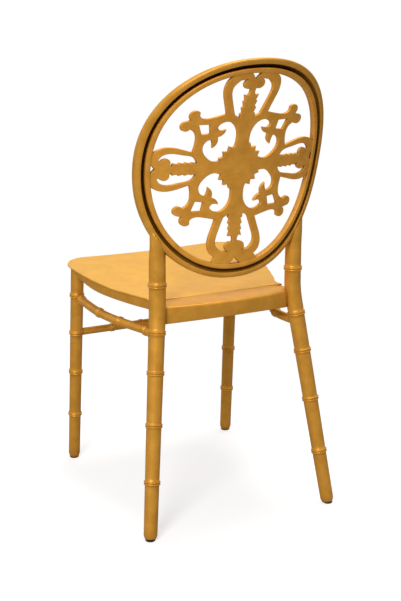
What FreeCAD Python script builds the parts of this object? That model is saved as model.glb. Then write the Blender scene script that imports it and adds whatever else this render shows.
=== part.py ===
import FreeCAD, Part
import math
import os
from FreeCAD import Placement, Rotation, Vector

# A ballroom chair of moulded bamboo-turned legs and an oval back with a pierced insert.
# +Z is up, the sitter looks along -Y, x = 0 is the plane of symmetry and z = 0 the floor.
# The origin is the middle of the chair's outline on the floor. Left is the sitter's left, +X.

# Driving dimensions: alias, value in millimetres (or as noted), meaning
SIZES = [
    ("knee_height", 432.0, "height at which the rear leg turns upright"),
    ("rear_knee_x", 143.5, "rear leg axis from the middle, from the knee up"),
    ("rear_knee_y", 122.0, "rear leg axis behind the origin, from the knee up"),
    ("rear_foot_x", 194.0, "rear leg axis from the middle, at the floor"),
    ("rear_foot_y", 196.0, "rear leg axis behind the origin, at the floor"),
    ("rear_foot_width", 26.0, "diameter of the rear leg at the floor"),
    ("rear_knee_width", 32.0, "diameter of the rear leg at the knee"),
    ("rear_head_width", 31.5, "diameter of the rear leg under the hoop"),
    ("front_head_x", 178.2, "front leg axis from the middle, at the seat"),
    ("front_head_y", 202.4, "front leg axis before the origin, at the seat"),
    ("front_foot_x", 183.3, "front leg axis from the middle, at the floor"),
    ("front_foot_y", 236.4, "front leg axis before the origin, at the floor"),
    ("front_foot_width", 24.0, "diameter of the front leg at the floor"),
    ("front_head_width", 27.0, "diameter of the front leg at the seat"),
    ("ring_rise", 2.2, "how far a ring stands out of the leg"),
    ("ring_width", 4.2, "height of each of the two beads of a ring"),
    ("rear_ring_1", 108.0, "height of the rear leg's lowest ring"),
    ("rear_ring_2", 214.5, "height of its second ring"),
    ("rear_ring_3", 311.0, "height of its third ring"),
    ("rear_ring_4", -47.0, "its fourth ring, from the knee up"),
    ("rear_ring_5", 43.0, "its fifth ring, above the seat, from the knee up"),
    ("front_ring_1", 103.5, "height of the front leg's lowest ring"),
    ("front_ring_2", 201.0, "height of its second ring"),
    ("front_ring_3", 289.0, "height of its third ring"),
    ("front_ring_4", -59.5, "its highest ring, from the rear knee's height up"),
    ("glide_height", 3.0, "thickness of the glide's disc under the leg"),
    ("glide_width", 19.0, "diameter of the glide's disc"),
    ("glide_nail", 3.0, "diameter of the glide's nail"),
    ("glide_depth", 16.0, "length of the nail in the leg"),
    ("seat_level", 0.8, "height of the seat's plane above the origin, from the knee up"),
    ("seat_slope", 2.3, "rise of the seat towards the front, degrees"),
    ("seat_front", 249.4, "seat's front edge before the origin"),
    ("seat_back", 82.0, "seat's rear edge behind the origin"),
    ("seat_front_half", 203.0, "half width of the seat behind its front corners"),
    ("seat_middle_half", 186.5, "half width of the seat at its middle"),
    ("seat_middle_y", 83.0, "where that is, before the origin"),
    ("seat_bend_half", 161.0, "half width of the seat where its side turns inwards"),
    ("seat_waist_half", 127.0, "half width of the seat at the waist before the legs"),
    ("seat_back_half", 141.0, "half width of the seat at its rear edge"),
    ("seat_corner", 26.0, "size of the seat's rounded front corner"),
    ("seat_bend_y", 7.5, "where the seat's side turns inwards, before the origin"),
    ("seat_waist_y", 42.0, "where the seat is narrowest, behind the origin"),
    ("seat_rim", 4.0, "thickness of the seat board at its edge"),
    ("seat_field", 13.0, "underside of the seat's thicker middle below its plane"),
    ("seat_dish", 5.0, "depth of the seat's hollow"),
    ("rail_top", -0.5, "height of the rear rail's ledge, from the knee up"),
    ("rail_bottom", -35.0, "rear rail's lower edge at its ends, from the knee up"),
    ("rail_arch", 4.0, "rise of the rear rail's lower edge at the middle"),
    ("rail_half", 130.5, "half length of the rear rail"),
    ("rail_front_y", 88.0, "rear rail's front face behind the origin"),
    ("shelf_front_y", 76.0, "front edge of the shelf that carries the seat's rear edge"),
    ("shelf_low", -14.0, "underside of that shelf, from the knee up"),
    ("rail_gap_half", 131.5, "inner face of the side rail at the rear leg"),
    ("rail_ends_y", 126.5, "rear rail's rear face behind the origin, at its ends"),
    ("rail_middle_y", 141.0, "rear rail's rear face behind the origin, at the middle"),
    ("apron_rear_low", -27.5, "side rail's lower edge at the rear leg, from the knee up"),
    ("apron_middle_low", -19.5, "its lower edge half way, from the knee up"),
    ("apron_front_low", 0.5, "its lower edge at the front leg, from the knee up"),
    ("apron_inset", 6.5, "side rail's outer face inside the seat's edge"),
    ("apron_thick", 18.0, "thickness of the side and front rails"),
    ("front_rail_low", -20.0, "front rail's lower edge, from the knee up"),
    ("front_rail_y", 205.4, "middle of the front rail before the origin"),
    ("front_block_low", -24.0, "front corner blocks' underside, from the knee up"),
    ("rear_block_low", -32.0, "rear corner blocks' underside, from the knee up"),
    ("front_block_reach", 46.0, "from the front leg's axis to its block's slanting face"),
    ("rear_block_reach", 85.0, "from the rear leg's axis to its block's slanting face"),
    ("front_bolt_level", -17.0, "front corner bolts, from the knee up"),
    ("rear_bolt_level", -23.5, "rear corner bolts, from the knee up"),
    ("hoop_level", 255.9, "the oval's middle, from the knee up"),
    ("oval_half_width", 177.1, "half width of the line in the middle of the groove"),
    ("oval_half_height", 193.3, "half height of that line"),
    ("oval_squareness", 2.17, "exponent of the oval, 2 for an ellipse"),
    ("oval_egg", 0.056, "share by which the oval is wider at its top"),
    ("groove_half", 3.3, "half width of the groove between hoop and insert"),
    ("hoop_wall", 10.5, "thickness of the hoop outside the groove"),
    ("hoop_depth", 18.0, "depth of the hoop from back to front"),
    ("hoop_chamfer", 5.0, "bevel of the hoop's outer edges"),
    ("lip_reach", 11.0, "how far the hoop's front lip reaches inside the groove line"),
    ("panel_thick", 12.0, "thickness of the pierced insert's rim"),
    ("web_near", 1.5, "insert's pierced web behind the rim's rear face"),
    ("web_far", 10.0, "insert's pierced web, its front face from the rim's rear face"),
    ("panel_rim", 9.7, "width of the insert's rim"),
    ("back_at_middle", 170.2, "back face behind the origin at the oval's middle"),
    ("back_lean", 0.208, "slope of the back face at the oval's middle"),
    ("back_curl", 0.777, "growth of that slope with height, per metre"),
    ("back_twist", 0.477, "growth of that growth, per square metre"),
    ("back_round", 508.0, "radius of the back's curve round the sitter"),
    ("motif_rise", 6.6, "middle of the insert's motif above the oval's middle"),
    ("stretcher_width", 17.0, "diameter of the side stretchers"),
    ("stretcher_front", -64.0, "side stretcher at the front leg, from the knee up"),
    ("stretcher_rear", -49.0, "side stretcher at the rear leg, from the knee up"),
    ("stretcher_bow", 20.0, "how far the side stretcher bows outwards"),
    ("low_stretcher_width", 15.0, "diameter of the front stretcher"),
    ("low_stretcher_level", 289.5, "height of the front stretcher"),
    ("stretcher_ring", 1.7, "how far a ring stands out of a stretcher"),
    ("tenon_width", 10.0, "diameter of the stretchers' tenons"),
    ("dowel_width", 6.0, "diameter of the rail dowels"),
    ("dowel_length", 24.0, "length of the rail dowels"),
    ("hoop_pin_width", 5.0, "diameter of the pins between legs and hoop"),
    ("hoop_pin_length", 28.0, "length of those pins"),
    ("hoop_pin_level", 124.0, "middle of those pins, from the knee up"),
    ("tenon_pin_width", 2.5, "diameter of the pins through the tenons"),
    ("tenon_pin_length", 20.0, "length of those pins"),
    ("bolt_width", 6.0, "diameter of the corner bolts"),
    ("bolt_head", 10.0, "diameter of their heads"),
    ("bolt_head_height", 5.0, "height of their heads"),
    ("washer_width", 14.0, "diameter of their washers"),
    ("washer_thick", 1.5, "thickness of the washers"),
    ("insert_width", 9.0, "diameter of the threaded inserts"),
    ("insert_length", 10.0, "length of the threaded inserts"),
    ("screw_width", 4.0, "diameter of the seat screws"),
    ("screw_length", 23.0, "length of the seat screws under the head"),
    ("screw_bite", 7.0, "how far a seat screw goes into the seat"),
    ("screw_head", 7.6, "diameter of their heads"),
    ("small_screw_width", 2.6, "diameter of the insert's screws"),
    ("small_screw_length", 11.0, "length of the insert's screws under the head"),
    ("small_screw_head", 4.8, "diameter of their heads"),
    ("small_screw_sink", 3.0, "how far their heads are sunk in the lip"),
    ("fit_gap", 0.05, "radial room round a dowel, bolt or screw"),
]

doc = FreeCAD.newDocument("ballroom_chair")
sheet = doc.addObject("Spreadsheet::Sheet", "Sizes")
for row, (alias, value, meaning) in enumerate(SIZES, start=1):
    sheet.set(f"A{row}", meaning)
    sheet.set(f"B{row}", str(value))
    sheet.setAlias(f"B{row}", alias)
doc.recompute()

ANYWHERE = 600.0  # reach of a cutting tool past everything it cuts
parts = {}


def size(name):
    """The value of one cell of the sheet."""
    return float(getattr(sheet, name))


def level(name):
    """A height above the floor, of a cell that is measured from the knee."""
    return size("knee_height") + size(name)


def value_of(expression):
    """The number that an expression about the sheet's cells gives now."""
    return float(sheet.evalExpression(str(expression)))


# Building helpers

def new_sketch(body, name, role):
    """A sketch on one of the body's own origin planes."""
    made = body.newObject("Sketcher::SketchObject", name)
    plane = next(item for item in body.Origin.OriginFeatures if item.Role == role)
    made.AttachmentSupport = [(plane, "")]
    made.MapMode = "FlatFace"
    return made


def pin_point(sketch, geometry, end, corner):
    """Dimension one point of a sketch from its origin with two expressions."""
    import Sketcher
    for kind, expression in zip(("DistanceX", "DistanceY"), corner):
        index = sketch.addConstraint(
            Sketcher.Constraint(kind, -1, 1, geometry, end, value_of(expression)))
        sketch.setExpression(f"Constraints[{index}]", str(expression))


def draw_outline(sketch, corners):
    """Closed outline. A corner is (x, y), or (x, y, via_x, via_y) at the end of an arc."""
    import Sketcher
    places = [Vector(value_of(c[0]), value_of(c[1]), 0) for c in corners]
    count = len(corners)
    edges = []
    for index in range(count):
        start, end = places[index], places[(index + 1) % count]
        corner = corners[(index + 1) % count]
        if len(corner) == 2:
            edges.append((sketch.addGeometry(Part.LineSegment(start, end)), 1, 2))
            continue
        via = Vector(value_of(corner[2]), value_of(corner[3]), 0)
        arc = Part.ArcOfCircle(start, via, end)
        line = sketch.addGeometry(arc)
        first = 1 if sketch.getPoint(line, 1).distanceToPoint(start) < 1e-6 else 2
        edges.append((line, first, 3 - first))
        mark = sketch.addGeometry(Part.Point(via), True)
        pin_point(sketch, mark, 1, (corner[2], corner[3]))
        sketch.addConstraint(Sketcher.Constraint("PointOnObject", mark, 1, line))
    for index, (line, first, last) in enumerate(edges):
        following, start, _ = edges[(index + 1) % count]
        sketch.addConstraint(Sketcher.Constraint("Coincident", line, last, following, start))
        pin_point(sketch, line, first, corners[index])


def prism(name, role, corners, length):
    """A body padded from one outline, on both sides of its plane."""
    body = doc.addObject("PartDesign::Body", name)
    draw_outline(new_sketch(body, name + "_outline", role), corners)
    pad = body.newObject("PartDesign::Pad", name + "_pad")
    pad.Profile = body.Group[0]
    pad.Midplane = True
    pad.setExpression("Length", str(length))
    doc.recompute()
    return body


def turned(name, profile):
    """A body of revolution about its own Z axis. The profile is (radius, height) pairs."""
    body = doc.addObject("PartDesign::Body", name)
    draw_outline(new_sketch(body, name + "_profile", "XZ_Plane"), profile)
    spin = body.newObject("PartDesign::Revolution", name + "_turning")
    spin.Profile = body.Group[0]
    axis = next(item for item in body.Origin.OriginFeatures if item.Role == "Z_Axis")
    spin.ReferenceAxis = (axis, [""])
    spin.Angle = 360
    doc.recompute()
    return body


def combine(kind, name, *pieces):
    """A Part boolean of the given objects."""
    made = doc.addObject("Part::" + kind, name)
    if kind in ("MultiFuse", "MultiCommon"):
        made.Shapes = list(pieces)
    else:
        made.Base, made.Tool = pieces
    doc.recompute()
    return made


def feature(name, shape, placement=None):
    """An object whose shape comes from Part's own functions."""
    made = doc.addObject("Part::Feature", name)
    made.Shape = shape
    made.Placement = placement or Placement()
    return made


def mirrored(name, source):
    """The same piece on the chair's other side."""
    made = doc.addObject("Part::Mirroring", name)
    made.Source = source
    made.Normal = Vector(1, 0, 0)
    doc.recompute()
    return made


def keep(name, piece):
    """Name an object as one finished piece of the chair."""
    piece.Label = name
    parts[name] = piece
    return piece


def keep_pair(name, piece):
    """Keep a piece made for the sitter's left, and its mirror image."""
    keep(name + "_left", piece)
    keep(name + "_right", mirrored("mirror_" + name, piece))


def leaning(foot, head):
    """The placement of an upright piece that stands on foot and points at head."""
    return Placement(foot, Rotation(Vector(0, 0, 1), head - foot))


# Shapes that several pieces share

def along(foot, head, height):
    """The point of the line from foot to head at a height above the floor."""
    share = (height - foot.z) / (head.z - foot.z)
    return foot + (head - foot) * share


rear_foot = Vector(size("rear_foot_x"), size("rear_foot_y"), 0)
rear_knee = Vector(size("rear_knee_x"), size("rear_knee_y"), size("knee_height"))
front_foot = Vector(size("front_foot_x"), -size("front_foot_y"), 0)
front_head = Vector(size("front_head_x"), -size("front_head_y"), level("seat_level"))

side = Vector(1, 0, 0)
up = Vector(0, 0, 1)
seat_place = Placement(Vector(0, 0, level("seat_level")),
                       Rotation(Vector(1, 0, 0), -size("seat_slope")))


def ring_profile(below, above, level, rise="Sizes.ring_rise", bead="Sizes.ring_width"):
    """The two beads of one bamboo ring between the widths below and above it."""
    return [
        (f"({below}) / 2", f"{level} - {bead}"),
        (f"({below}) / 2 + {rise}", f"{level} - {bead} / 2"),
        (f"({below}) / 4 + ({above}) / 4 + {rise} / 3", f"{level}"),
        (f"({above}) / 2 + {rise}", f"{level} + {bead} / 2"),
        (f"({above}) / 2", f"{level} + {bead}"),
    ]


def bamboo_profile(low, high, low_width, high_width, levels):
    """Half the outline of a turning whose width steps up at every ring."""
    widths = [f"({low_width} + ({high_width} - {low_width}) * {i} / {len(levels)})"
              for i in range(len(levels) + 1)]
    points = [("0", low), (f"{widths[0]} / 2", low)]
    for below, above, level in zip(widths, widths[1:], levels):
        points += ring_profile(below, above, level)
    return points + [(f"{high_width} / 2", high), ("0", high)]


# The curved back: a face that leans back more and more, and wraps round the sitter

def back_line(rise):
    """How far the back face lies behind the origin at x = 0, by height above the oval's middle."""
    curl = size("back_curl") / 1e3
    twist = size("back_twist") / 1e6
    return size("back_at_middle") + size("back_lean") * rise + curl * rise ** 2 + twist * rise ** 3


def back_wrap(x):
    """How far the back face comes forward at a distance from its middle."""
    return size("back_round") - math.sqrt(size("back_round") ** 2 - x ** 2)


def back_slab(near, far):
    """The solid between two copies of the back face, near and far in front of it."""
    reach = size("oval_half_width") + 50
    wrap = back_wrap(reach)
    tall = size("oval_half_height") + 40
    sections = []
    for rise in (-tall, -tall / 3, tall / 3, tall):
        height = level("hoop_level") + rise

        def face(depth):
            middle = back_line(rise) - depth
            ends = [Vector(x, middle - wrap, height) for x in (-reach, reach)]
            return ends[0], Vector(0, middle, height), ends[1]

        a, b, c = face(near)
        d, e, f = face(far)
        sections.append(Part.Wire([
            Part.Arc(a, b, c).toShape(), Part.makeLine(c, f),
            Part.Arc(f, e, d).toShape(), Part.makeLine(d, a)]))
    return Part.makeLoft(sections, True, False)


def oval_point(grow, turn):
    """A point of the oval, grown outwards from the groove's middle line, seen from the front."""
    power = 2 / size("oval_squareness")
    side, rise = math.cos(turn), math.sin(turn)
    z = (size("oval_half_height") + grow) * math.copysign(abs(rise) ** power, rise)
    x = (size("oval_half_width") + grow) * math.copysign(abs(side) ** power, side)
    egg = 1 + size("oval_egg") * z / (size("oval_half_height") + grow)
    return Vector(x * egg, 0, level("hoop_level") + z)


def oval_face(grow):
    """The flat face inside the grown oval, in the plane y = 0."""
    count = 14
    curve = Part.BSplineCurve()
    curve.interpolate([oval_point(grow, 2 * math.pi * i / count) for i in range(count)],
                      PeriodicFlag=True)
    return Part.Face(Part.Wire([curve.toShape()]))


def through(face):
    """A flat face of the plane y = 0 drawn out through the whole back."""
    return face.extrude(Vector(0, ANYWHERE, 0))


# Seat board: a thin edge all round, a thicker middle, and a shallow hollow across

def both_sides(right):
    """Close an outline given for x > 0 with its mirror image."""
    left = []
    for index in range(len(right) - 1, -1, -1):
        x, y = right[index][:2]
        via = right[index + 1][2:] if index + 1 < len(right) else ()
        left.append((f"-({x})", y) + ((f"-({via[0]})", via[1]) if via else ()))
    return right + left


def seat_side(inset):
    """The seat's long side from its front corner to the waist, moved in by inset."""
    return [
        (f"Sizes.seat_bend_half - {inset}", "-Sizes.seat_bend_y",
         f"Sizes.seat_middle_half - {inset}", "-Sizes.seat_middle_y"),
        (f"Sizes.seat_waist_half - {inset}", "Sizes.seat_waist_y",
         f"(Sizes.seat_bend_half + Sizes.seat_waist_half) / 2 + 1.5 - {inset}",
         "(Sizes.seat_waist_y - Sizes.seat_bend_y) / 2 + 3"),
    ]


seat_plan = prism("seat_plan", "XY_Plane", both_sides([
    ("Sizes.seat_front_half - Sizes.seat_corner", "-Sizes.seat_front"),
    ("Sizes.seat_front_half", "-Sizes.seat_front + Sizes.seat_corner",
     "Sizes.seat_front_half - 0.2929 * Sizes.seat_corner",
     "-Sizes.seat_front + 0.2929 * Sizes.seat_corner"),
    *seat_side("0"),
    ("Sizes.seat_back_half", "Sizes.seat_back", "Sizes.seat_waist_half + 2.5",
     "(Sizes.seat_waist_y + Sizes.seat_back) / 2"),
]), "60")
seat_plan.Placement = seat_place

field_plan = prism("seat_field_plan", "XY_Plane", both_sides([
    ("Sizes.seat_front_half - 53", "-Sizes.front_rail_y + Sizes.apron_thick / 2 + 2.4"),
    ("Sizes.seat_front_half - 53", "-Sizes.seat_middle_y + 13"),
    ("Sizes.seat_waist_half - 22", "Sizes.seat_waist_y - 12"),
    ("Sizes.seat_waist_half - 22", "Sizes.shelf_front_y - 2"),
]), "2 * Sizes.seat_field")
field_plan.Placement = seat_place


def hollow(name, depth):
    """A lying cylinder whose lowest line runs along the seat, depth under its plane."""
    made = doc.addObject("Part::Cylinder", name)
    made.Height = 2 * ANYWHERE
    made.setExpression(
        "Radius", "(Sizes.seat_front_half ^ 2 + Sizes.seat_dish ^ 2) / (2 * Sizes.seat_dish)")
    doc.recompute()
    middle = Vector(0, ANYWHERE, made.Radius.Value - depth)
    made.Placement = seat_place.multiply(Placement(middle, Rotation(side, 90)))
    return made


seat_top = hollow("seat_top_hollow", size("seat_dish"))
seat_under = hollow("seat_under_hollow", size("seat_dish") + size("seat_rim"))
seat_over = combine("MultiCommon", "seat_over", seat_plan, seat_under)
seat_blank = combine("Cut", "seat_blank",
                     combine("MultiFuse", "seat_full", seat_over, field_plan), seat_top)

above_field = doc.addObject("Part::Box", "above_field")
above_field.Length = above_field.Width = 2 * ANYWHERE
above_field.Height = ANYWHERE
above_field.Placement = seat_place.multiply(
    Placement(Vector(-ANYWHERE, -ANYWHERE, -size("seat_field")), Rotation()))


# Legs

floor_space = doc.addObject("Part::Box", "floor_space")
floor_space.Length = floor_space.Width = 2 * ANYWHERE
floor_space.Height = ANYWHERE
floor_space.Placement.Base = Vector(-ANYWHERE, -ANYWHERE, 0)
floor_space.setExpression("Placement.Base.z", f"Sizes.glide_height - {ANYWHERE}")

rear_lower = turned("rear_leg_lower", bamboo_profile(
    "-10", f"{(rear_knee - rear_foot).Length}", "Sizes.rear_foot_width",
    "Sizes.rear_knee_width",
    [f"{ring} * {(rear_knee - rear_foot).Length / rear_knee.z}" for ring in (
        "Sizes.rear_ring_1", "Sizes.rear_ring_2", "Sizes.rear_ring_3",
        "(Sizes.knee_height + Sizes.rear_ring_4)")]))
rear_lower.Placement = leaning(rear_foot, rear_knee)

rear_upper = turned("rear_leg_upper", bamboo_profile(
    "Sizes.knee_height", "(Sizes.knee_height + Sizes.hoop_level) - 80", "Sizes.rear_knee_width",
    "Sizes.rear_head_width", ["(Sizes.knee_height + Sizes.rear_ring_5)"]))
rear_upper.Placement = Placement(Vector(rear_knee.x, rear_knee.y, 0), Rotation())

knee_ball = doc.addObject("Part::Sphere", "rear_leg_knee")
knee_ball.setExpression("Radius", "Sizes.rear_knee_width / 2")
knee_ball.Placement = Placement(rear_knee, Rotation())

hoop_space = feature("hoop_space", through(oval_face(size("groove_half") + size("hoop_wall"))))

rear_leg_whole = combine("MultiFuse", "rear_leg_whole", rear_lower, rear_upper, knee_ball)
rear_leg_cut = combine("Cut", "rear_leg_on_floor", rear_leg_whole, floor_space)
rear_leg_blank = combine("Cut", "rear_leg_blank", rear_leg_cut, hoop_space)

front_turning = turned("front_leg_turning", bamboo_profile(
    "-10", f"{(front_head - front_foot).Length + 20}", "Sizes.front_foot_width",
    "Sizes.front_head_width",
    [f"{ring} * {(front_head - front_foot).Length / front_head.z}" for ring in (
        "Sizes.front_ring_1", "Sizes.front_ring_2", "Sizes.front_ring_3",
        "(Sizes.knee_height + Sizes.front_ring_4)")]))
front_turning.Placement = leaning(front_foot, front_head)
front_leg_cut = combine("Cut", "front_leg_on_floor", front_turning, floor_space)
front_leg_blank = combine("Cut", "front_leg_blank", front_leg_cut, seat_under)

rear_leg_other = mirrored("rear_leg_other", rear_leg_blank)
front_leg_other = mirrored("front_leg_other", front_leg_blank)


# Places of the hidden joints, all for the sitter's left side

def bore(point, direction, width, length):
    """A drilled hole with room for what goes into it."""
    return Part.makeCylinder(width / 2 + size("fit_gap"), length, point, direction)


def rod(point, direction, width, length):
    """A plain round bar."""
    return Part.makeCylinder(width / 2, length, point, direction)


def twice(shapes):
    """The given shapes and their mirror images as one compound."""
    other = [shape.mirror(Vector(), side) for shape in shapes]
    return Part.makeCompound(list(shapes) + other)


def drilled(name, piece, shapes):
    """The piece with the given holes cut into it."""
    tool = feature(name + "_holes", shapes if isinstance(shapes, Part.Compound)
                   else Part.makeCompound(list(shapes)))
    return combine("Cut", name + "_drilled", piece, tool)


def aimed(point, direction):
    """The placement that stands on point and turns +Z into the direction."""
    return Placement(point, Rotation(up, direction))


def copies(name, master, places):
    """One node of equal pieces: the master's shape at every place."""
    shapes = []
    for place in places:
        shape = master.Shape.copy()
        shape.Placement = place
        shapes.append(shape)
    return keep(name, feature(name + "_group", Part.makeCompound(shapes)))


def over(places):
    """Placements of round pieces on both sides of the chair."""
    made = list(places)
    for place in places:
        point, direction = place.Base, place.Rotation.multVec(up)
        made.append(aimed(Vector(-point.x, point.y, point.z),
                          Vector(-direction.x, direction.y, direction.z)))
    return made


fit = size("fit_gap")

# corner bolts: the axis runs level through the leg's axis, at 45 degrees to the rails
front_aim = Vector(1, -1, 0).normalize()
rear_aim = Vector(1, 1, 0).normalize()
front_core = along(front_foot, front_head, level("front_bolt_level"))
rear_core = along(rear_foot, rear_knee, level("rear_bolt_level"))
front_bolt_face = front_core - front_aim * size("front_block_reach")
rear_bolt_face = rear_core - rear_aim * size("rear_block_reach")
front_insert = front_core - front_aim * (size("front_head_width") / 2 - 1.5)
rear_insert = rear_core - rear_aim * (size("rear_knee_width") / 2 - 1.5)
front_bolt_length = (front_insert - front_bolt_face).Length + size("insert_length")
rear_bolt_length = (rear_insert - rear_bolt_face).Length + size("insert_length")
front_bolt_bore = bore(front_bolt_face - front_aim * 20, front_aim, size("bolt_width"),
                       20 + size("front_block_reach"))
rear_bolt_bore = bore(rear_bolt_face - rear_aim * 20, rear_aim, size("bolt_width"),
                      20 + size("rear_block_reach"))
front_insert_bore = bore(front_insert - front_aim * 5, front_aim, size("insert_width"),
                         size("insert_length") + 5)
rear_insert_bore = bore(rear_insert - rear_aim * 5, rear_aim, size("insert_width"),
                        size("insert_length") + 5)

# rail dowels, half in the rail and half in the leg
half = size("dowel_length") / 2
dowel_places = [
    (Vector(size("rear_knee_x") - size("rear_knee_width") / 2 - half,
            size("rear_knee_y") - 3, level("rail_top") - 6.5), side),
    (Vector(size("front_head_x") - size("front_head_width") / 2 - half,
            1.9 - size("front_rail_y"), level("seat_level") - 5.3), side),
    (Vector(size("rear_knee_x") - 5, size("rear_knee_y") - size("rear_knee_width") / 2 + 2 - half,
            level("seat_level") - 15.3), Vector(0, 1, 0)),
]
dowel_bores = [bore(p - d * 0.3, d, size("dowel_width"), size("dowel_length") + 0.6)
               for p, d in dowel_places]

# pins between the rear legs and the hoop's front lip
hoop_pin = Vector(
    size("rear_knee_x"),
    back_line(level("hoop_pin_level") - level("hoop_level")) - back_wrap(size("rear_knee_x"))
    - (size("panel_thick") + size("hoop_depth")) / 2,
    level("hoop_pin_level") - size("hoop_pin_length") / 2)
hoop_pin_bore = bore(hoop_pin - up * 0.3, up, size("hoop_pin_width"),
                     size("hoop_pin_length") + 0.6)

# the bowed side stretcher runs on an arc between the axes of the two legs
bow_start = along(front_foot, front_head, level("stretcher_front"))
bow_end = along(rear_foot, rear_knee, level("stretcher_rear"))
bow_span = bow_end - bow_start
bow_middle = (bow_start + bow_end) * 0.5 + bow_span.cross(up).normalize() * size("stretcher_bow")
bow = Part.Arc(bow_start, bow_middle, bow_end)


def bow_place(share):
    """Point and direction of the side stretcher's line at a share of its length."""
    at = bow.FirstParameter + share * (bow.LastParameter - bow.FirstParameter)
    return bow.value(at), bow.tangent(at)[0]


front_tenon, front_tenon_aim = bow_place(0)
rear_tenon, rear_tenon_aim = bow_place(1)
tenon_front = rod(front_tenon, front_tenon_aim, size("tenon_width"), 30)
tenon_rear = rod(rear_tenon, rear_tenon_aim * -1, size("tenon_width"), 34)
low_core = along(front_foot, front_head, size("low_stretcher_level"))
tenon_low = rod(low_core, side * -1, size("tenon_width"), 30)
mortises = [bore(front_tenon, front_tenon_aim, size("tenon_width"), 40),
            bore(low_core, side * -1, size("tenon_width"), 40)]
rear_mortise = bore(rear_tenon, rear_tenon_aim * -1, size("tenon_width"), 44)

# pins that lock the tenons in the legs
pin_half = side * (size("tenon_pin_length") / 2)
pin_places = [
    (front_tenon + front_tenon_aim * 7 - pin_half, side),
    (rear_tenon - rear_tenon_aim * 9 - pin_half, side),
    (low_core - side * 7 + Vector(0, size("tenon_pin_length") / 2, 0), Vector(0, -1, 0)),
]
pin_bores = [bore(p - d * 8, d, size("tenon_pin_width"), size("tenon_pin_length") + 8.3)
             for p, d in pin_places]

# nails of the glides
nails = [bore(foot, up, size("glide_nail"), size("glide_height") + size("glide_depth"))
         for foot in (front_foot, rear_foot)]


# Rails

rail_back = "Sizes.rear_knee_y - 10"
apron_plan = prism("side_rail_plan", "XY_Plane", [
    ("Sizes.seat_front_half - 4 - Sizes.apron_inset", "-Sizes.front_head_y + 9.4"),
    *seat_side("Sizes.apron_inset"),
    ("Sizes.rail_gap_half + 14.5", "Sizes.rail_front_y + 4", "Sizes.seat_waist_half + 0.5",
     "(Sizes.seat_waist_y + Sizes.rail_front_y) / 2"),
    ("Sizes.rail_gap_half + 18.5", rail_back),
    ("Sizes.rail_gap_half", rail_back),
    ("Sizes.rail_gap_half", "Sizes.rail_front_y"),
    ("Sizes.seat_waist_half - 4 - Sizes.apron_thick", "Sizes.seat_waist_y + 8"),
    ("Sizes.seat_waist_half - 4 - Sizes.apron_thick", "Sizes.seat_waist_y"),
    ("Sizes.seat_bend_half - Sizes.apron_inset - Sizes.apron_thick", "-Sizes.seat_bend_y"),
    ("Sizes.seat_front_half - 4 - Sizes.apron_inset - Sizes.apron_thick",
     "-Sizes.front_head_y + 9.4",
     "Sizes.seat_middle_half - Sizes.apron_inset - Sizes.apron_thick", "-Sizes.seat_middle_y"),
], "100")
apron_plan.Placement.Base.z = level("seat_level")
apron_side = prism("side_rail_side", "YZ_Plane", [
    ("-200", "(Sizes.knee_height + Sizes.apron_front_low) + 40"),
    ("-200", "(Sizes.knee_height + Sizes.apron_front_low)"),
    (rail_back, "Sizes.knee_height + Sizes.apron_rear_low", "-20",
     "Sizes.knee_height + Sizes.apron_middle_low"),
    (rail_back, "Sizes.knee_height + Sizes.apron_front_low + 40"),
], "600")
side_rail_blank = combine("MultiCommon", "side_rail_blank", apron_plan, apron_side)
side_rail_low = combine("Cut", "side_rail_under_seat", side_rail_blank, seat_under)
side_rail_rear = combine("Cut", "side_rail_on_rear_leg", side_rail_low, rear_leg_blank)
side_rail_coped = combine("Cut", "side_rail_coped", side_rail_rear, front_leg_blank)
side_rail = drilled("side_rail", side_rail_coped, [dowel_bores[2], rear_bolt_bore])
keep_pair("side_rail", side_rail)

rear_rail_plan = prism("rear_rail_plan", "XY_Plane", [
    ("-Sizes.rail_half", "Sizes.rail_front_y"),
    ("Sizes.rail_half", "Sizes.rail_front_y"),
    ("Sizes.rail_half", "Sizes.rail_ends_y"),
    ("-Sizes.rail_half", "Sizes.rail_ends_y", "0", "Sizes.rail_middle_y"),
], "100")
rear_rail_plan.Placement.Base.z = level("seat_level")
rear_rail_front = prism("rear_rail_front", "XZ_Plane", [
    ("-Sizes.rail_half - 5", "Sizes.knee_height + Sizes.rail_top"),
    ("-Sizes.rail_half - 5", "Sizes.knee_height + Sizes.rail_bottom"),
    ("Sizes.rail_half + 5", "Sizes.knee_height + Sizes.rail_bottom",
     "0", "Sizes.knee_height + Sizes.rail_bottom + Sizes.rail_arch"),
    ("Sizes.rail_half + 5", "Sizes.knee_height + Sizes.rail_top"),
], "600")
rear_rail_blank = combine("MultiCommon", "rear_rail_blank", rear_rail_plan, rear_rail_front)
rear_shelf = prism("rear_rail_shelf", "XY_Plane", both_sides([
    ("Sizes.rail_gap_half - 11", "Sizes.shelf_front_y"),
    ("Sizes.rail_gap_half - 2.5", "Sizes.rail_front_y"),
    ("Sizes.rail_gap_half - 2.5", "Sizes.rail_front_y + 10"),
]), "Sizes.rail_top - Sizes.shelf_low")
rear_shelf.setExpression("Placement.Base.z",
                         "Sizes.knee_height + (Sizes.rail_top + Sizes.shelf_low) / 2")
rear_rail_whole = combine("MultiFuse", "rear_rail_whole", rear_rail_blank, rear_shelf)
rear_rail_rebated = combine("Cut", "rear_rail_rebated", rear_rail_whole, seat_over)
rear_legs = combine("MultiFuse", "rear_legs", rear_leg_blank, rear_leg_other)
rear_rail_coped = combine("Cut", "rear_rail_coped", rear_rail_rebated, rear_legs)
rear_rail = drilled("rear_rail", rear_rail_coped, twice([dowel_bores[0], rear_bolt_bore]))
keep("rear_rail", rear_rail)

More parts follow.
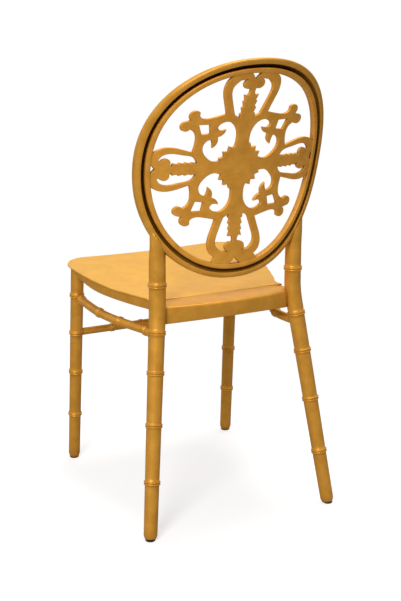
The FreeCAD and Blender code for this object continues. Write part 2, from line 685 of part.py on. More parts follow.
front_rail_blank = prism("front_rail_blank", "XY_Plane", both_sides([
    ("Sizes.front_head_x", "-Sizes.front_rail_y - Sizes.apron_thick / 2"),
    ("Sizes.front_head_x", "-Sizes.front_rail_y + Sizes.apron_thick / 2"),
]), "80")
front_rail_blank.setExpression("Placement.Base.z", "(Sizes.knee_height + Sizes.front_rail_low) + 40")
front_rail_low = combine("Cut", "front_rail_under_seat", front_rail_blank, seat_under)
front_legs = combine("MultiFuse", "front_legs", front_leg_blank, front_leg_other)
front_rail_coped = combine("Cut", "front_rail_coped", front_rail_low, front_legs)
front_rail_solids = sorted(front_rail_coped.Shape.Solids, key=lambda solid: solid.Volume)
front_rail_core = feature("front_rail_core", front_rail_solids[-1])
keep("front_rail", drilled("front_rail", front_rail_core,
                           twice([dowel_bores[1], front_bolt_bore])))


# Corner blocks

front_sum = front_bolt_face.x - front_bolt_face.y
front_edge = -size("front_rail_y") + size("apron_thick") / 2
front_wall = size("seat_front_half") - size("apron_inset") - size("apron_thick") - 18.5
front_block_plan = prism("front_block_plan", "XY_Plane", [
    (f"{front_sum + front_edge}", f"{front_edge}"),
    (f"{front_wall + 14}", f"{front_edge}"),
    (f"{front_wall + 14}", f"{front_edge + 10}"),
    (f"{front_wall}", f"{front_edge + 26}"),
    (f"{front_wall}", f"{front_wall - front_sum}"),
], "80")
front_block_plan.setExpression("Placement.Base.z", "(Sizes.knee_height + Sizes.front_block_low) + 40")
front_block_low = combine("Cut", "front_block_under_seat", front_block_plan, above_field)
front_block_coped = combine("Cut", "front_block_coped", front_block_low, front_leg_blank)

rear_sum = rear_bolt_face.x + rear_bolt_face.y
rear_block_plan = prism("rear_block_plan", "XY_Plane", [
    (f"{rear_sum} - Sizes.rail_front_y", "Sizes.rail_front_y"),
    ("Sizes.rail_gap_half", "Sizes.rail_front_y"),
    ("Sizes.seat_waist_half - 4 - Sizes.apron_thick", "Sizes.seat_waist_y + 8"),
    ("Sizes.seat_waist_half - 4 - Sizes.apron_thick",
     f"{rear_sum} - Sizes.seat_waist_half + 4 + Sizes.apron_thick"),
], "80")
rear_block_plan.setExpression("Placement.Base.z", "(Sizes.knee_height + Sizes.rear_block_low) + 40")
rear_block_low = combine("Cut", "rear_block_under_seat", rear_block_plan, above_field)
rear_block_coped = combine("Cut", "rear_block_coped", rear_block_low, side_rail_coped)


# Seat screws: up through each block into the seat's thicker middle

def field_height(point):
    """Height of the seat field's underside over a point."""
    slope = math.radians(size("seat_slope"))
    return level("seat_level") - size("seat_field") / math.cos(slope) - point.y * math.tan(slope)


def seat_screw_base(x, y):
    """Where the underside of a seat screw's head lies."""
    top = field_height(Vector(x, y, 0)) + size("screw_bite")
    return Vector(x, y, top - size("screw_length"))


screw_bases = [
    seat_screw_base(front_wall - 20, 21.4 - size("front_rail_y")),
    seat_screw_base(size("seat_waist_half") - 30, size("rail_front_y") - 22),
]


def screw_bores(base):
    """Hole and counterbore of one seat screw."""
    shank = bore(base, up, size("screw_width"), size("screw_length"))
    room = bore(base - up * 30, up, size("screw_head") + 0.4, 30)
    return [shank.fuse(room)]


keep_pair("front_block", drilled("front_block", front_block_coped,
                                 [front_bolt_bore] + screw_bores(screw_bases[0])))
keep_pair("rear_block", drilled("rear_block", rear_block_coped,
                                [rear_bolt_bore] + screw_bores(screw_bases[1])))

seat_holes = [bore(base, up, size("screw_width"), size("screw_length")) for base in screw_bases]
keep("seat_panel", drilled("seat_panel", seat_blank, twice(seat_holes)))


# Finished legs

rear_leg = drilled("rear_leg", rear_leg_blank, [
    dowel_bores[0], dowel_bores[2], rear_insert_bore, hoop_pin_bore,
    rear_mortise.fuse(pin_bores[1]), nails[1]])
keep_pair("rear_leg", rear_leg)
front_leg = drilled("front_leg", front_leg_blank, [
    dowel_bores[1], front_insert_bore, mortises[0].fuse(pin_bores[0]),
    mortises[1].fuse(pin_bores[2]), nails[0]])
keep_pair("front_leg", front_leg)


# Stretchers

ring_marks = (0.065, 0.3, 0.63, 0.925)


def bow_rounds():
    """Circles along the side stretcher with two beads at every ring."""
    width = size("stretcher_width") / 2
    reach = bow_span.Length
    bead = size("ring_width") / reach
    rise = size("stretcher_ring")
    stations = [(0.0, width), (1.0, width)]
    for mark in ring_marks:
        stations += [(mark - bead, width), (mark - bead / 2, width + rise),
                     (mark, width + rise / 3), (mark + bead / 2, width + rise),
                     (mark + bead, width)]
    stations += [((low + high) / 2, width) for low, high in zip(ring_marks, ring_marks[1:])]
    rounds = []
    for share, radius in sorted(stations):
        point, direction = bow_place(share)
        rounds.append(Part.Wire([Part.makeCircle(radius, point, direction)]))
    return rounds


bow_blank = feature("side_stretcher_blank", Part.makeLoft(bow_rounds(), True, True))
bow_rear = combine("Cut", "side_stretcher_on_rear_leg", bow_blank, rear_leg_blank)
bow_coped = combine("Cut", "side_stretcher_coped", bow_rear, front_leg_blank)
bow_solids = sorted(bow_coped.Shape.Solids, key=lambda solid: solid.Volume)
bow_core = feature("side_stretcher_core", bow_solids[-1])
tenons = feature("side_stretcher_tenons", Part.makeCompound([tenon_front, tenon_rear]))
bow_whole = combine("MultiFuse", "side_stretcher_whole", bow_core, tenons)
keep_pair("side_stretcher", drilled("side_stretcher", bow_whole, pin_bores[:2]))

low_turning = turned("front_stretcher_turning", [("0", "-Sizes.front_head_x")] + [
    (f"Sizes.low_stretcher_width / 2", "-Sizes.front_head_x")] + [
    point for share in (-0.56, -0.187, 0.187, 0.56)
    for point in ring_profile("Sizes.low_stretcher_width", "Sizes.low_stretcher_width",
                              f"Sizes.front_head_x * ({share})", "Sizes.stretcher_ring")] + [
    ("Sizes.low_stretcher_width / 2", "Sizes.front_head_x"), ("0", "Sizes.front_head_x")])
low_turning.Placement = aimed(Vector(0, low_core.y, low_core.z), side)
low_coped = combine("Cut", "front_stretcher_coped", low_turning, front_legs)
low_solids = sorted(low_coped.Shape.Solids, key=lambda solid: solid.Volume)
low_core_piece = feature("front_stretcher_core", low_solids[-1])
low_tenons = feature("front_stretcher_tenons", twice([tenon_low]))
low_whole = combine("MultiFuse", "front_stretcher_whole", low_core_piece, low_tenons)
keep("front_stretcher", drilled("front_stretcher", low_whole, twice([pin_bores[2]])))


# Hoop: an egg-shaped ring with a rebate behind a lip that carries the pierced insert

def screw_spot(turn):
    """Where a small screw goes through the hoop's lip, on the lip's front face."""
    point = oval_point(-(size("groove_half") + size("lip_reach")) / 2, turn)
    rise = point.z - level("hoop_level")
    point.y = back_line(rise) - back_wrap(point.x) - size("hoop_depth")
    return point


screw_spots = [screw_spot(math.radians(45 + 90 * i)) for i in range(4)]
back = Vector(0, 1, 0)
sink = back * size("small_screw_sink")
small_bores = [bore(spot + sink, back, size("small_screw_width"),
                    size("small_screw_length") + 0.3)
               for spot in screw_spots]
small_rooms = [bore(spot - back * 12, back, size("small_screw_head"),
                    12 + size("small_screw_sink"))
               for spot in screw_spots]

outer = size("groove_half") + size("hoop_wall")
hoop_face = oval_face(outer).cut(oval_face(-size("lip_reach")))
hoop_ring = through(hoop_face).common(back_slab(0, size("hoop_depth")))
rebate = through(oval_face(size("groove_half"))).common(back_slab(-20, size("panel_thick")))
hoop_rebated = hoop_ring.cut(rebate)
widest = max(edge.BoundBox.XLength for edge in hoop_rebated.Edges)
outer_edges = [e for e in hoop_rebated.Edges if e.BoundBox.XLength > widest - 5]
hoop_rounded = hoop_rebated.makeChamfer(size("hoop_chamfer"), outer_edges)
hoop_blank = feature("back_hoop_blank", hoop_rounded)
hoop_holes = [a.fuse(b) for a, b in zip(small_bores, small_rooms)]
hoop_pins = [hoop_pin_bore, hoop_pin_bore.mirror(Vector(), side)]
keep("back_hoop", drilled("back_hoop", hoop_blank, hoop_holes + hoop_pins))


# Pierced insert. The openings are drawn for one quarter of the motif, in millimetres
# from its middle: each run of points is a line (2), an arc (3) or a smooth curve (4 and up).

KIDNEY = [
    [(20, 20), (13.5, 39)],
    [(13.5, 39), (14, 65), (27, 82.5), (46, 83), (53, 75), (48, 69.5)],
    [(48, 69.5), (42, 69.7), (36.5, 71)],
    [(36.5, 71), (41, 62), (50.5, 57.3)],
    [(50.5, 57.3), (49.5, 50), (52, 43), (58, 37)],
    [(58, 37), (59, 46), (62, 53.5)],
    [(62, 53.5), (72, 49), (76.5, 38), (69, 22), (53, 11.5), (36.5, 13)],
    [(36.5, 13), (20, 20)],
]
WEDGE = [
    [(68.5, 81.5), (89, 81.5)],
    [(89, 81.5), (81.5, 63)],
    [(81.5, 63), (65.5, 65)],
    [(65.5, 65), (68.5, 81.5)],
]
FIELD = [
    [(41, 100), (48.5, 122), (54.5, 147), (48, 166), (41, 171.5)],
    [(41, 171.5), (60, 215)],
    [(60, 215), (215, 215)],
    [(215, 215), (205, 30.5)],
    [(205, 30.5), (164.5, 30.5)],
    [(164.5, 30.5), (152, 38.5), (130, 41), (105, 34.5), (93.5, 31)],
    [(93.5, 31), (90.3, 50), (94, 67), (104, 74.5)],
    [(104, 74.5), (120.5, 76.5), (113, 89)],
    [(113, 89), (104.5, 91)],
    [(104.5, 91), (106.3, 104), (90, 105)],
    [(90, 105), (89.5, 98), (80, 93), (66, 94), (41, 100)],
]
TALL_HEART = [
    [(14.5, 91.5), (14.5, 99)],
    [(14.5, 99), (11, 101)],
    [(11, 101), (14, 110)],
    [(14, 110), (10.5, 113)],
    [(10.5, 113), (13.5, 122)],
    [(13.5, 122), (10.5, 124)],
    [(10.5, 124), (13.5, 134.5)],
    [(13.5, 134.5), (8, 133)],
    [(8, 133), (4.5, 140), (6, 146)],
    [(6, 146), (20, 153), (14, 163.5)],
    [(14, 163.5), (21, 162), (28, 161)],
    [(28, 161), (39, 148), (36, 127), (28, 105), (25, 97.5)],
    [(25, 97.5), (14.5, 91.5)],
]
WIDE_HEART = [
    [(83.5, 10.5), (88, 18.5), (110, 26), (132, 29.5), (148, 24.5), (151.5, 20)],
    [(151.5, 20), (148.5, 16), (147.5, 17)],
    [(147.5, 17), (137, 20.5), (131, 9.5)],
    [(131, 9.5), (128, 5.5)],
    [(128, 5.5), (126, 11.5)],
    [(126, 11.5), (117, 9.5)],
    [(117, 9.5), (115, 12.5)],
    [(115, 12.5), (106, 10)],
    [(106, 10), (104, 12.5)],
    [(104, 12.5), (95, 10)],
    [(95, 10), (93, 12)],
    [(93, 12), (83.5, 10.5)],
]

# small gaps where the motif's ribs part before the rim: their tips above, below and beside
TOP_GAP = [[(0, 162), (7, 172), (17, 180)], [(17, 180), (-17, 180)], [(-17, 180), (-7, 172), (0, 162)]]
LOW_GAP = [[(0, -175), (7, -183), (17, -190)], [(17, -190), (-17, -190)],
           [(-17, -190), (-7, -183), (0, -175)]]
SIDE_GAP = [[(157.5, 1.5), (162, 7), (170, 13)], [(170, 13), (170, -10)],
            [(170, -10), (162, -4), (157.5, 1.5)]]


def motif_point(u, v, flip_u=1, flip_v=1):
    """A point of the motif in the plane y = 0."""
    return Vector(u * flip_u, 0, level("hoop_level") + size("motif_rise") + v * flip_v)


def opening(runs, flip_u, flip_v):
    """The flat face of one opening, mirrored into its quarter of the motif."""
    edges = []
    for run in runs:
        points = [motif_point(u, v, flip_u, flip_v) for u, v in run]
        if len(points) == 2:
            edges.append(Part.makeLine(*points))
        elif len(points) == 3:
            edges.append(Part.Arc(*points).toShape())
        else:
            curve = Part.BSplineCurve()
            curve.interpolate(points)
            edges.append(curve.toShape())
    return Part.Face(Part.Wire(edges))


def rosette():
    """The toothed outline of the flower in the middle."""
    points = []
    for tooth in range(24):
        for radius, degrees in ((49, 2.5), (42, 10)):
            turn = math.radians(15 * tooth + degrees)
            points.append(motif_point(radius * math.cos(turn), radius * math.sin(turn)))
    return Part.Face(Part.makePolygon(points + points[:1]))


rim_inner = oval_face(-size("groove_half") - size("panel_rim"))
flower = rosette()
holes = []
for flip_u in (1, -1):
    for flip_v in (1, -1):
        holes.append(opening(KIDNEY, flip_u, flip_v).cut(flower))
        holes.append(opening(WEDGE, flip_u, flip_v))
        holes.append(opening(FIELD, flip_u, flip_v).common(rim_inner))
        holes.append(opening(TALL_HEART, flip_u, flip_v))
        holes.append(opening(WIDE_HEART, flip_u, flip_v))
for runs, flip_u in ((TOP_GAP, 1), (LOW_GAP, 1), (SIDE_GAP, 1), (SIDE_GAP, -1)):
    holes.append(opening(runs, flip_u, 1).common(rim_inner))
web_face = rim_inner.cut(Part.makeCompound(holes))
web = through(web_face).common(back_slab(size("web_near"), size("web_far")))
rim_face = oval_face(-size("groove_half")).cut(rim_inner)
rim = through(rim_face).common(back_slab(0, size("panel_thick")))
panel_blank = feature("back_panel_blank", rim.fuse(web))
keep("back_panel", drilled("back_panel", panel_blank, small_bores))


# Small hardware

glide = turned("glide_turning", [
    ("0", "0"), ("Sizes.glide_width / 2 - 1", "0"), ("Sizes.glide_width / 2", "1"),
    ("Sizes.glide_width / 2", "Sizes.glide_height"), ("Sizes.glide_nail / 2", "Sizes.glide_height"),
    ("Sizes.glide_nail / 2", "Sizes.glide_height + Sizes.glide_depth"),
    ("0", "Sizes.glide_height + Sizes.glide_depth")])
for place, foot in (("front", front_foot), ("rear", rear_foot)):
    stood = feature(f"glide_{place}_master", glide.Shape, Placement(foot, Rotation()))
    keep(f"foot_glide_{place}_left", stood)
    keep(f"foot_glide_{place}_right", mirrored(f"mirror_glide_{place}", stood))

dowel = turned("dowel_turning", [
    ("0", "0"), ("Sizes.dowel_width / 2", "0"),
    ("Sizes.dowel_width / 2", "Sizes.dowel_length"), ("0", "Sizes.dowel_length")])
copies("rail_dowels", dowel, over([aimed(p, d) for p, d in dowel_places]))

pin = turned("hoop_pin_turning", [
    ("0", "0"), ("Sizes.hoop_pin_width / 2", "0"),
    ("Sizes.hoop_pin_width / 2", "Sizes.hoop_pin_length"), ("0", "Sizes.hoop_pin_length")])
copies("hoop_pins", pin, over([aimed(hoop_pin, up)]))

small_pin = turned("tenon_pin_turning", [
    ("0", "0"), ("Sizes.tenon_pin_width / 2", "0"),
    ("Sizes.tenon_pin_width / 2", "Sizes.tenon_pin_length"), ("0", "Sizes.tenon_pin_length")])
copies("tenon_pins", small_pin, over([aimed(p, d) for p, d in pin_places]))


def bolt(name, length):
    """A bolt that stands on the underside of its head."""
    return turned(name, [
        ("0", "-Sizes.bolt_head_height"), ("Sizes.bolt_head / 2", "-Sizes.bolt_head_height"),
        ("Sizes.bolt_head / 2", "0"), ("Sizes.bolt_width / 2", "0"),
        ("Sizes.bolt_width / 2", f"{length} + Sizes.washer_thick"),
        ("0", f"{length} + Sizes.washer_thick")])


front_seat = front_bolt_face - front_aim * size("washer_thick")
rear_seat = rear_bolt_face - rear_aim * size("washer_thick")
copies("front_bolts", bolt("front_bolt_turning", front_bolt_length),
       over([aimed(front_seat, front_aim)]))
copies("rear_bolts", bolt("rear_bolt_turning", rear_bolt_length),
       over([aimed(rear_seat, rear_aim)]))

washer = turned("washer_turning", [
    ("Sizes.bolt_width / 2 + Sizes.fit_gap", "0"), ("Sizes.washer_width / 2", "0"),
    ("Sizes.washer_width / 2", "Sizes.washer_thick"),
    ("Sizes.bolt_width / 2 + Sizes.fit_gap", "Sizes.washer_thick")])
copies("bolt_washers", washer, over([aimed(front_seat, front_aim), aimed(rear_seat, rear_aim)]))

insert = turned("insert_turning", [
    ("Sizes.bolt_width / 2 + Sizes.fit_gap", "0"), ("Sizes.insert_width / 2", "0"),
    ("Sizes.insert_width / 2", "Sizes.insert_length"),
    ("Sizes.bolt_width / 2 + Sizes.fit_gap", "Sizes.insert_length")])
copies("leg_inserts", insert, over([aimed(front_insert, front_aim),
                                    aimed(rear_insert, rear_aim)]))

screw = turned("seat_screw_turning", [
    ("0", "-3"), ("Sizes.screw_head / 2", "-3"), ("Sizes.screw_width / 2", "0"),
    ("Sizes.screw_width / 2", "Sizes.screw_length - 3"), ("0", "Sizes.screw_length")])
copies("seat_screws", screw, over([aimed(base, up) for base in screw_bases]))

small_screw = turned("panel_screw_turning", [
    ("0", "-1.8"), ("Sizes.small_screw_head / 2", "-1.8"), ("Sizes.small_screw_head / 2", "0"),
    ("Sizes.small_screw_width / 2", "0"),
    ("Sizes.small_screw_width / 2", "Sizes.small_screw_length"),
    ("0", "Sizes.small_screw_length")])
copies("panel_screws", small_screw, [aimed(spot + sink, back) for spot in screw_spots])


# Check everything and write one STEP file for each piece

doc.recompute()
for item in doc.Objects:
    if "Invalid" in item.State or "Error" in item.State:
        raise RuntimeError(f"{item.Name} could not be computed: {item.State}")
os.makedirs("parts", exist_ok=True)
for name, piece in parts.items():
    shape = piece.Shape
    if shape.isNull() or not shape.isValid() or not shape.Solids:
        raise RuntimeError(f"{name} has no valid solid")
    shape.exportStep(f"parts/{name}.step")
    box = shape.BoundBox
    print(f"{name}: {len(shape.Solids)} solids, "
          f"{box.XLength:.1f} x {box.YLength:.1f} x {box.ZLength:.1f} mm")
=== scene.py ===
import math
import bmesh
import bpy
import numpy as np
from mathutils import Matrix, Vector

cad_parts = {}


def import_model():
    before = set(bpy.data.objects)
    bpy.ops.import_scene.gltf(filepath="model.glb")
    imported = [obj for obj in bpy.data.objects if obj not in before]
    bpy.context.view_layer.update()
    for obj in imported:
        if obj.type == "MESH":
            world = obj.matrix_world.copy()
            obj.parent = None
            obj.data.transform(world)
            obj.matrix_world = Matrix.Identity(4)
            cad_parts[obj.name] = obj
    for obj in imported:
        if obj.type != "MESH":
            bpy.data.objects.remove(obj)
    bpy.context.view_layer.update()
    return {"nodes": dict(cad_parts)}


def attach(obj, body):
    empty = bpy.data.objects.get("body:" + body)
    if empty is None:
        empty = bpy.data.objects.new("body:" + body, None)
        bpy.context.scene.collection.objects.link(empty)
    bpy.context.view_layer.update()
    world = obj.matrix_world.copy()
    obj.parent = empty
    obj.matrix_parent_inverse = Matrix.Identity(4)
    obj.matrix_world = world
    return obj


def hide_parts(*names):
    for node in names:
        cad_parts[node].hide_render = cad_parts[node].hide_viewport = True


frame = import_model()
MM = 0.001


# The curved back, with the sizes of the part's source, in metres. LEAN gives the rear face's y
# in millimetres as powers of the height over the hoop's middle, GROOVE is half the groove's
# width, and MOTIF is how far the motif's middle lies above the hoop's.

HOOP_LEVEL = 0.6879
HALF_WIDTH = 0.1771
HALF_HEIGHT = 0.1933
POWER = 2 / 2.17
EGG = 0.056
ROUND = 0.508
GROOVE = 0.0033
MOTIF = 0.0066
LEAN = (170.2, 0.208, 0.777e-3, 0.477e-6)


def back_y(x, z, depth=0.0):
    """The y of the back's rear face over x and z, moved forward by depth."""
    rise = (z - HOOP_LEVEL) / MM
    middle = sum(factor * rise ** power for power, factor in enumerate(LEAN))
    return middle * MM - (ROUND - math.sqrt(ROUND * ROUND - x * x)) - depth


def oval(grow, turn):
    """x and z of the oval, grown outwards from the groove's middle line."""
    side, rise = math.cos(turn), math.sin(turn)
    z = (HALF_HEIGHT + grow) * math.copysign(abs(rise) ** POWER, rise)
    x = (HALF_WIDTH + grow) * math.copysign(abs(side) ** POWER, side)
    return x * (1 + EGG * z / (HALF_HEIGHT + grow)), HOOP_LEVEL + z


# Camera, floor and light. The camera's turn is azimuth, elevation and roll in degrees.

CAMERA_PLACE = (1.0984, 2.2662, 1.148)
CAMERA_TURN = (154.048, 16.676, 0.21)
CAMERA_LENS = 79.26


def camera():
    data = bpy.data.cameras.new("camera")
    data.lens = CAMERA_LENS
    data.sensor_width = 36
    data.clip_end = 50
    cam = bpy.data.objects.new("camera", data)
    bpy.context.collection.objects.link(cam)
    a, e, r = (math.radians(v) for v in CAMERA_TURN)
    back = Vector((math.sin(a) * math.cos(e), -math.cos(a) * math.cos(e), math.sin(e)))
    level = Vector((math.cos(a), math.sin(a), 0))
    raised = back.cross(level)
    right = level * math.cos(r) + raised * math.sin(r)
    up = raised * math.cos(r) - level * math.sin(r)
    turn = Matrix((right, up, back)).transposed().to_4x4()
    cam.matrix_world = Matrix.Translation(CAMERA_PLACE) @ turn
    bpy.context.scene.camera = cam


camera()


def mesh_object(name, vertices, faces, smooth=True):
    """A new object from points and faces."""
    data = bpy.data.meshes.new(name)
    data.from_pydata([tuple(v) for v in vertices], [], faces)
    data.update()
    if smooth:
        data.polygons.foreach_set("use_smooth", [True] * len(data.polygons))
    made = bpy.data.objects.new(name, data)
    bpy.context.collection.objects.link(made)
    return made


def tidy_normals(made):
    """All faces turned outwards."""
    work = bmesh.new()
    work.from_mesh(made.data)
    bmesh.ops.recalc_face_normals(work, faces=work.faces)
    work.to_mesh(made.data)
    work.free()


def node(tree, kind, links=None, **values):
    """A shader node with its inputs set or linked, and its properties set."""
    made = tree.nodes.new(kind)
    for key, value in values.items():
        setattr(made, key, value)
    for key, value in (links or {}).items():
        socket = made.inputs[key] if isinstance(key, int) else next(
            item for item in made.inputs if item.name == key and item.enabled)
        if isinstance(value, bpy.types.NodeSocket):
            tree.links.new(value, socket)
        else:
            socket.default_value = value
    return made


def ramp(tree, factor, stops):
    """The colour of a ramp whose stops are (place, colour)."""
    made = node(tree, "ShaderNodeValToRGB", {"Fac": factor})
    element = made.color_ramp.elements
    while len(element) < len(stops):
        element.new(0.5)
    for item, (place, colour) in zip(element, stops):
        item.position = place
        item.color = (*colour, 1)
    return made.outputs["Color"]


# How far from another surface the painted nook shade still reaches, in metres
NOOK_SHADE_REACH = 0.012


def resin(name, base, deep, light, roughness=0.42, sheen=0.35, grain=1.0):
    """Gold pigmented moulded resin: satin, faintly mottled, finely pitted, with painted shade
    darkening its nooks.
    """
    made = bpy.data.materials.new(name)
    made.use_nodes = True
    tree = made.node_tree
    shader = tree.nodes["Principled BSDF"]
    spot = node(tree, "ShaderNodeTexCoord").outputs["Object"]
    cloud = node(tree, "ShaderNodeTexNoise", {
        "Vector": spot, "Scale": 38.0, "Detail": 4.0, "Roughness": 0.6}).outputs["Fac"]
    speck = node(tree, "ShaderNodeTexNoise", {
        "Vector": spot, "Scale": 900.0, "Detail": 2.0, "Roughness": 0.5}).outputs["Fac"]
    blend = node(tree, "ShaderNodeMath", {0: cloud, 1: speck}, operation="ADD").outputs[0]
    half = node(tree, "ShaderNodeMath", {0: blend, 1: 0.5}, operation="MULTIPLY").outputs[0]
    colour = ramp(tree, half, [(0.36, deep), (0.5, base), (0.64, light)])
    # Painted shade: ambient occlusion darkens the colour in nooks, creases, seams and between parts.
    nook_shade = node(tree, "ShaderNodeAmbientOcclusion", {"Distance": NOOK_SHADE_REACH}, samples=8).outputs["AO"]
    shade = ramp(tree, nook_shade, [
        (0.12, (0.10, 0.045, 0.02)), (0.62, (0.80, 0.74, 0.62)), (0.92, (1, 1, 1))])
    shaded_colour = node(tree, "ShaderNodeMix", {"Factor": 1.0, "A": colour, "B": shade},
                  data_type="RGBA", blend_type="MULTIPLY")
    result = next(item for item in shaded_colour.outputs if item.enabled)
    tree.links.new(result, shader.inputs["Base Color"])
    shine = node(tree, "ShaderNodeMapRange", {
        "Value": cloud, "From Min": 0.3, "From Max": 0.7,
        "To Min": roughness - 0.05, "To Max": roughness + 0.06}).outputs["Result"]
    tree.links.new(shine, shader.inputs["Roughness"])
    shader.inputs["Metallic"].default_value = sheen
    shader.inputs["Specular IOR Level"].default_value = 0.3
    shader.inputs["Specular Tint"].default_value = (1.0, 0.80, 0.50, 1)
    pits = node(tree, "ShaderNodeTexNoise", {
        "Vector": spot, "Scale": 620.0, "Detail": 3.0, "Roughness": 0.65}).outputs["Fac"]
    bump = node(tree, "ShaderNodeBump", {
        "Height": pits, "Strength": 0.22 * grain, "Distance": 0.0006}).outputs["Normal"]
    tree.links.new(bump, shader.inputs["Normal"])
    return made


GOLD = resin("gold_resin", (0.62, 0.285, 0.034), (0.54, 0.235, 0.025), (0.70, 0.335, 0.048))
GOLD_INSERT = resin("gold_insert", (0.69, 0.310, 0.039), (0.58, 0.247, 0.028),
                    (0.78, 0.368, 0.055), 0.46, 0.25, 1.5)
# Painted light: the seat's gold is a lighter copy of the frame's resin, standing in for the light on
# the seat's top.
LIT_GOLD_SEAT = resin("gold_seat", (0.74, 0.385, 0.058), (0.67, 0.335, 0.045),
                  (0.80, 0.435, 0.075), 0.48, 0.2, 0.8)


AMBIENT = 0.20
FLOOR_GLOW = 0.64
FADE_START, FADE_END = 0.55, 1.3


def world():
    """Soft light all round, and plain white where the camera sees past the floor."""
    made = bpy.data.worlds.new("studio")
    bpy.context.scene.world = made
    made.use_nodes = True
    tree = made.node_tree
    tree.nodes.clear()
    paths = node(tree, "ShaderNodeLightPath")
    seen = node(tree, "ShaderNodeMath", {
        0: paths.outputs["Is Camera Ray"], 1: paths.outputs["Is Glossy Ray"]}, operation="MAXIMUM")
    seen = node(tree, "ShaderNodeMath", {
        0: seen.outputs[0], 1: paths.outputs["Is Transmission Ray"]}, operation="MAXIMUM")
    soft = node(tree, "ShaderNodeBackground", {"Color": (1, 1, 1, 1), "Strength": AMBIENT})
    white = node(tree, "ShaderNodeBackground", {"Color": (1, 1, 1, 1), "Strength": 1.0})
    mixed = node(tree, "ShaderNodeMixShader", {
        0: seen.outputs[0], 1: soft.outputs[0], 2: white.outputs[0]})
    node(tree, "ShaderNodeOutputWorld", {"Surface": mixed.outputs[0]})


world()


def lamp(name, spot, aim, size, power):
    """A round area lamp at a spot, turned to its aim."""
    data = bpy.data.lights.new(name, "AREA")
    data.shape = "DISK"
    data.size = size
    data.energy = power
    made = bpy.data.objects.new(name, data)
    bpy.context.collection.objects.link(made)
    made.location = spot
    made.rotation_mode = "QUATERNION"
    made.rotation_quaternion = (Vector(aim) - Vector(spot)).to_track_quat("-Z", "Y")


lamp("key", (1.9, 1.9, 2.2), (0, 0, 0.6), 1.2, 66)
lamp("top", (-0.3, -0.2, 2.7), (0, 0, 0.4), 1.1, 36)


def floor():
    """A pale floor that takes the chair's shadow and fades to white further out."""
    made = mesh_object("floor", [(-6, -6, 0), (6, -6, 0), (6, 6, 0), (-6, 6, 0)],
                       [(0, 1, 2, 3)], False)
    material = bpy.data.materials.new("pale_floor")
    material.use_nodes = True
    tree = material.node_tree
    shader = tree.nodes["Principled BSDF"]
    spot = node(tree, "ShaderNodeTexCoord").outputs["Object"]
    cloud = node(tree, "ShaderNodeTexNoise", {"Vector": spot, "Scale": 3.0}).outputs["Fac"]
    colour = ramp(tree, cloud, [(0.3, (0.50, 0.50, 0.50)), (0.7, (0.53, 0.53, 0.53))])
    tree.links.new(colour, shader.inputs["Base Color"])
    shader.inputs["Roughness"].default_value = 0.8
    output = tree.nodes["Material Output"]
    paths = node(tree, "ShaderNodeLightPath")
    glow = node(tree, "ShaderNodeEmission", {"Color": (1, 1, 1, 1), "Strength": FLOOR_GLOW})
    white = node(tree, "ShaderNodeEmission", {"Color": (1, 1, 1, 1), "Strength": 1.0})
    lit = node(tree, "ShaderNodeAddShader", {0: shader.outputs[0], 1: glow.outputs[0]})
    away = node(tree, "ShaderNodeVectorMath", {0: spot}, operation="LENGTH").outputs["Value"]
    fade = node(tree, "ShaderNodeMapRange", {
        "Value": away, "From Min": FADE_START, "From Max": FADE_END}, interpolation_type="SMOOTHSTEP")
    seen = node(tree, "ShaderNodeMixShader", {
        0: fade.outputs["Result"], 1: lit.outputs[0], 2: white.outputs[0]})
    mixed = node(tree, "ShaderNodeMixShader", {
        0: paths.outputs["Is Camera Ray"], 1: shader.outputs[0], 2: seen.outputs[0]})
    tree.links.new(mixed.outputs[0], output.inputs["Surface"])
    made.data.materials.append(material)


floor()


# Pieces that take the place of CAD nodes

def loop_strip(rings, closed=True, caps=False):
    """Faces between rings of equal length; closed joins the last ring to the first."""
    count = len(rings[0])
    vertices = [p for ring in rings for p in ring]
    faces = []
    spans = len(rings) if closed else len(rings) - 1
    for i in range(spans):
        j = (i + 1) % len(rings)
        for k in range(count):
            m = (k + 1) % count
            faces.append((i * count + k, i * count + m, j * count + m, j * count + k))
    if caps:
        faces.append(tuple(range(count)))
        faces.append(tuple(range(count * (len(rings) - 1), count * len(rings))))
    return vertices, faces


def corner(cx, cy, rx, ry, start, steps=5):
    """Points of a rounded corner from the angle start, a quarter turn on."""
    return [(cx + rx * math.cos(start + math.pi / 2 * i / steps),
             cy + ry * math.sin(start + math.pi / 2 * i / steps)) for i in range(steps + 1)]


def back_ring(name, profile, count=224):
    """A profile of (grow, depth) points swept round the oval."""
    rings = []
    for i in range(count):
        turn = 2 * math.pi * (i + 0.5) / count
        ring = []
        for grow, depth in profile:
            x, z = oval(grow, turn)
            ring.append((x, back_y(x, z, depth), z))
        rings.append(ring)
    made = mesh_object(name, *loop_strip(rings))
    tidy_normals(made)
    return made


def place(made, nodes, slot, material):
    """Gives a piece its material and body, and puts it in place of the named nodes; slot is not used.
    """
    made.data.materials.clear()
    made.data.materials.append(material)
    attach(made, "root")
    if nodes:
        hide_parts(*nodes)
    return made


# Hoop section: rounded outside, plain wall in the groove, lip in front of the insert

HOOP_OUT = 0.0138
HOOP_DEEP = 0.018
INSERT_SEAT = 0.012
LIP_IN = -0.011
EDGE = 0.0016
hoop_profile = (
    corner(HOOP_OUT - 0.0062, 0.0052, 0.0062, 0.0052, -math.pi / 2, 7)
    + corner(HOOP_OUT - 0.006, HOOP_DEEP - 0.0055, 0.006, 0.0055, 0, 7)
    + [(LIP_IN + 0.0015, HOOP_DEEP), (LIP_IN, HOOP_DEEP - 0.0012), (LIP_IN, INSERT_SEAT + 0.0002),
       (LIP_IN + 0.0002, INSERT_SEAT), (GROOVE, INSERT_SEAT)]
    + corner(GROOVE + EDGE, EDGE, EDGE, EDGE, math.pi, 3))
place(back_ring("hoop_moulding", hoop_profile), ["back_hoop"], "gold_resin", GOLD)


# Rim of the insert: a soft band between the groove and the openings

